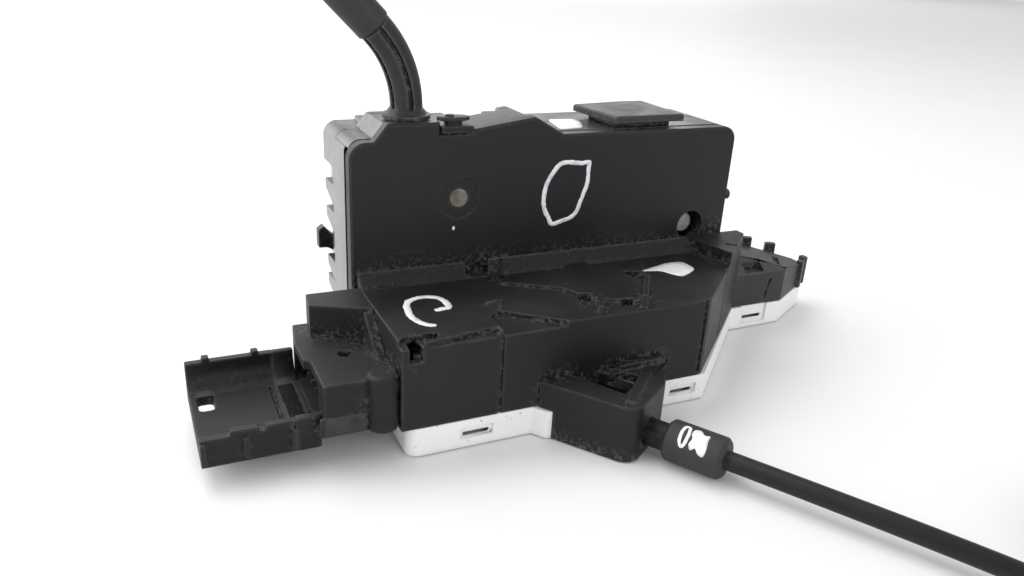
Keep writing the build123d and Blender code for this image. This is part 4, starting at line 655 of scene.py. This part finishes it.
def stroke(name, points, width, lift, closed=False, seed=1):
    """A brush stroke of uneven width along a line."""
    draw = random.Random(seed)
    line = smooth_line(points, closed)
    count = len(line)
    rings, faces = [], []
    for i, here in enumerate(line):
        before = line[(i - 1) % count] if closed else line[max(i - 1, 0)]
        after = line[(i + 1) % count] if closed else line[min(i + 1, count - 1)]
        along = (after - before).normalized()
        across = Vector((-along.y, along.x))
        end = 1.0 if closed else min(1.0, 0.45 + 0.35 * min(i, count - 1 - i))
        half = width / 2 * end
        rings += [here + across * half * draw.uniform(*UNEVEN), here,
                  here - across * half * draw.uniform(*UNEVEN)]
    for i in range(count if closed else count - 1):
        a, b = 3 * i, 3 * ((i + 1) % count)
        faces += [[a, a + 1, b + 1, b], [a + 1, a + 2, b + 2, b + 1]]
    paint_piece(name, rings, faces, lift)


def dab(name, points, lift):
    """A filled blot of paint inside a smooth outline."""
    rim = smooth_line(points, True, 4)
    middle = sum(rim, Vector((0, 0))) / len(rim)
    inner = [middle + (p - middle) * 0.6 for p in rim]
    count = len(rim)
    faces = [[i, (i + 1) % count, count + (i + 1) % count, count + i] for i in range(count)]
    faces += [[count + i, count + (i + 1) % count, 2 * count] for i in range(count)]
    paint_piece(name, rim + inner + [middle], faces, lift)


def on_deck(p, height):
    """The place over a point of the deck, in plan."""
    return place(p[0], p[1], DECK_TOP + height)


def on_roof(p, height):
    """The place over a point of the box's roof, in plan."""
    return place(p[0], p[1], ROOF_TOP + height)


def on_cover(p, height):
    """The place in front of the upright cover, from x and z."""
    return place(p[0], COVER_FRONT - height, p[1])


def on_boot(p, height):
    """The place over the boot, from the way along it and the angle from its top in tenths of a radian."""
    along, angle = p[0], p[1] / 10
    out = BOOT_RADIUS + height
    away = -out * math.sin(angle)
    cos, sin = math.cos(CABLE_HEADING), math.sin(CABLE_HEADING)
    x, y, z = CABLE_EXIT
    return place(x + along * cos - away * sin, y + along * sin + away * cos, z + out * math.cos(angle))


# marks that somebody brushed on by hand, and a white patch on the roof beside the pad
CURL = [(11.2, 14.8), (12.9, 15.2), (14.9, 15.7), (15.2, 18.4), (14.8, 20.9), (13.6, 22.2), (11.8, 23.0),
        (9.4, 22.9), (7.3, 21.8), (6.0, 19.6), (5.4, 16.8), (5.0, 14.0), (5.4, 11.3), (6.3, 9.1),
        (7.5, 7.8), (8.8, 7.3)]
RING = [(55.2, 55.2), (57.2, 54.9), (58.9, 54.8), (60.6, 54.9), (60.5, 52.9), (60.6, 50.2), (60.0, 47.6),
        (58.7, 43.8), (57.8, 41.5), (56.1, 40.2), (53.5, 39.5), (50.9, 38.9), (49.6, 40.8), (48.3, 43.3),
        (47.9, 45.8), (48.2, 48.8), (48.9, 50.8), (50.3, 53.0), (51.7, 54.6), (53.2, 55.2)]
BLOT = [(72.0, 22.1), (76.9, 23.6), (81.8, 25.0), (86.3, 24.6), (87.0, 21.4), (86.3, 18.6), (81.5, 15.8),
        (79.8, 15.9), (78.3, 17.8), (77.2, 20.0), (75.5, 21.0)]
# a white patch laid on the roof beside the pad
ROOF_WHITE_PATCH = [(57.2, 52.4), (61.0, 52.7), (64.4, 52.1), (64.9, 49.4), (63.2, 45.0), (61.5, 41.9),
             (57.8, 40.9), (54.8, 40.8), (55.6, 46.0)]
SPECK = [(22.8, 40.0), (23.3, 39.8), (23.5, 40.4), (23.1, 40.8)]
BOOT_LOOP = [(-9.7, 1.0), (-10.1, 4.5), (-9.9, 9.0), (-9.2, 11.8), (-8.6, 9.5), (-8.5, 5.0), (-8.9, 1.2)]
BOOT_BLOT = [(-7.6, 1.2), (-7.9, 4.0), (-7.4, 6.5), (-7.7, 9.5), (-7.0, 11.6), (-6.1, 10.2), (-5.2, 12.2),
             (-4.0, 12.6), (-3.7, 9.0), (-4.0, 5.0), (-4.1, 2.2), (-5.3, 2.6), (-6.4, 0.6)]

stroke("paint_curl", CURL, 1.55, on_deck, seed=3)
stroke("paint_ring", RING, 1.15, on_cover, closed=True, seed=5)
dab("paint_blot", BLOT, on_deck)
dab("roof_white_patch", ROOF_WHITE_PATCH, on_roof)
dab("paint_speck", SPECK, on_cover)
stroke("paint_boot_loop", BOOT_LOOP, 0.75, on_boot, closed=True, seed=7)
dab("paint_boot_blot", BOOT_BLOT, on_boot)


# ---------------------------------------------------------------- floor
FLOOR_HALF = 4.0
FLOOR_DROP = 0.2 * MM


def make_floor():
    """A pale table top, just under the base so that the two share no plane."""
    s = Shader("floor")
    body = s.mix(s.noise(9.0, 4.0, 0.6), (0.78, 0.783, 0.785), (0.82, 0.822, 0.825))
    s.link(body, s.surface.inputs["Base Color"])
    s.fix(Roughness=0.6)
    mesh = bpy.data.meshes.new("floor")
    signs = ((-1, -1), (1, -1), (1, 1), (-1, 1))
    mesh.from_pydata([(x * FLOOR_HALF, y * FLOOR_HALF, 0) for x, y in signs], [], [(0, 1, 2, 3)])
    mesh.materials.append(s.material)
    floor = linked("floor", mesh)
    floor.location.z = -FLOOR_DROP


make_floor()


# ---------------------------------------------------------------- cords
SHEATH = 4.4 * MM
# the height of the sheath's middle where it lies on the table, and the rise from one turn to the next
LYING = 2.2
LAYER = 4.45
COIL_MIDDLE = (130.697, -97.403)
COIL_RADIUS = 25.0
COIL_TURNS = 2.15
COIL_START = CABLE_HEADING - math.pi / 2
TURN_POINTS = 12
# control points stand outside the circle that they make
CONTROL_RADIUS = COIL_RADIUS / math.cos(math.pi / TURN_POINTS) * 0.99


def nurbs(name, points, radius):
    """A smooth round cord whose control points are the route's points."""
    data = bpy.data.curves.new(name, "CURVE")
    data.dimensions = "3D"
    spline = data.splines.new("NURBS")
    spline.points.add(len(points) - 1)
    for point, where in zip(spline.points, points):
        point.co = (*where, 1.0)
    spline.order_u = 3
    spline.use_endpoint_u = True
    spline.resolution_u = 12
    data.bevel_depth = radius
    data.bevel_resolution = 6
    data.use_fill_caps = True
    return linked(name, data)


def beside_coil(angle, radius, along, height):
    """A place at an angle and a distance from the coil's middle, moved along the turn there."""
    cos, sin = math.cos(angle), math.sin(angle)
    return place(COIL_MIDDLE[0] + radius * cos - along * sin, COIL_MIDDLE[1] + radius * sin + along * cos,
                 height)


def coil_points():
    """Turns of the coil, each lying on the one before, with the climb in the second half of a turn."""
    steps = round(COIL_TURNS * TURN_POINTS)
    points = []
    for step in range(1, steps):
        turn = step * COIL_TURNS / steps
        climb = math.floor(turn) + min(1.0, max(0.0, (turn % 1.0 - 0.4) / 0.5))
        angle = COIL_START + 2 * math.pi * turn
        points.append(beside_coil(angle, CONTROL_RADIUS, 0.0, LYING + LAYER * climb))
    return points


# the clip's section, outward from the sheath's middle and up, its half length and its place on the coil
CLIP_SECTION = [(-3.5, 0.3), (-2.5, 0.3), (-2.5, 9.0), (2.5, 9.0), (2.5, 0.3), (3.5, 0.3), (3.5, 9.2),
                (2.7, 10.0), (-2.7, 10.0), (-3.5, 9.2)]
CLIP_HALF = 3.0
CLIP_ANGLE = COIL_START + 2 * math.pi * 0.2
CLIP_ROUNDING = 0.3 * MM


def make_coil_clip():
    """A moulded clip pushed down over two turns of the coil."""
    places = [beside_coil(CLIP_ANGLE, COIL_RADIUS + out, along, height)
              for along in (-CLIP_HALF, CLIP_HALF) for out, height in CLIP_SECTION]
    count = len(CLIP_SECTION)
    faces = [list(range(count)), list(range(count, 2 * count))[::-1]]
    faces += [[i, count + i, count + (i + 1) % count, (i + 1) % count] for i in range(count)]
    mesh = bpy.data.meshes.new("coil_clip")
    mesh.from_pydata(places, [], faces)
    weigh_edges(mesh, CLIP_ROUNDING, False)
    clip = linked("coil_clip", mesh)
    add_rounding(clip, CLIP_ROUNDING)
    mesh.materials.append(materials["black_shell"])
    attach(clip, "housing")
    return clip


inner_route = [place(*CABLE_EXIT), place(90.0, -78.1, 5.0), place(102.06, -98.23, LYING),
               place(109.246, -110.242, LYING), *coil_points(), place(128.475, -122.304, 11.1),
               place(142.42, -123.549, 7.0), place(151.3, -125.64, 3.3), place(156.186, -126.786, 3.3)]
inner_cord = nurbs("inner_cable_cord", inner_route, SHEATH / 2)
inner_cord.data.materials.append(materials["cable_sheath"])
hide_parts("inner_cable", "inner_cable_coil", "inner_cable_tail")
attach(inner_cord, "housing")
make_coil_clip()

outer_route = [place(-8.457, 42.5, 101.427), place(-25.428, 42.5, 118.397), place(-49.428, 43.5, 123.397)]
outer_cord = nurbs("outer_cable_cord", outer_route, SHEATH / 2)
outer_cord.data.materials.append(materials["cable_sheath"])
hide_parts("outer_cable")
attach(outer_cord, "housing")
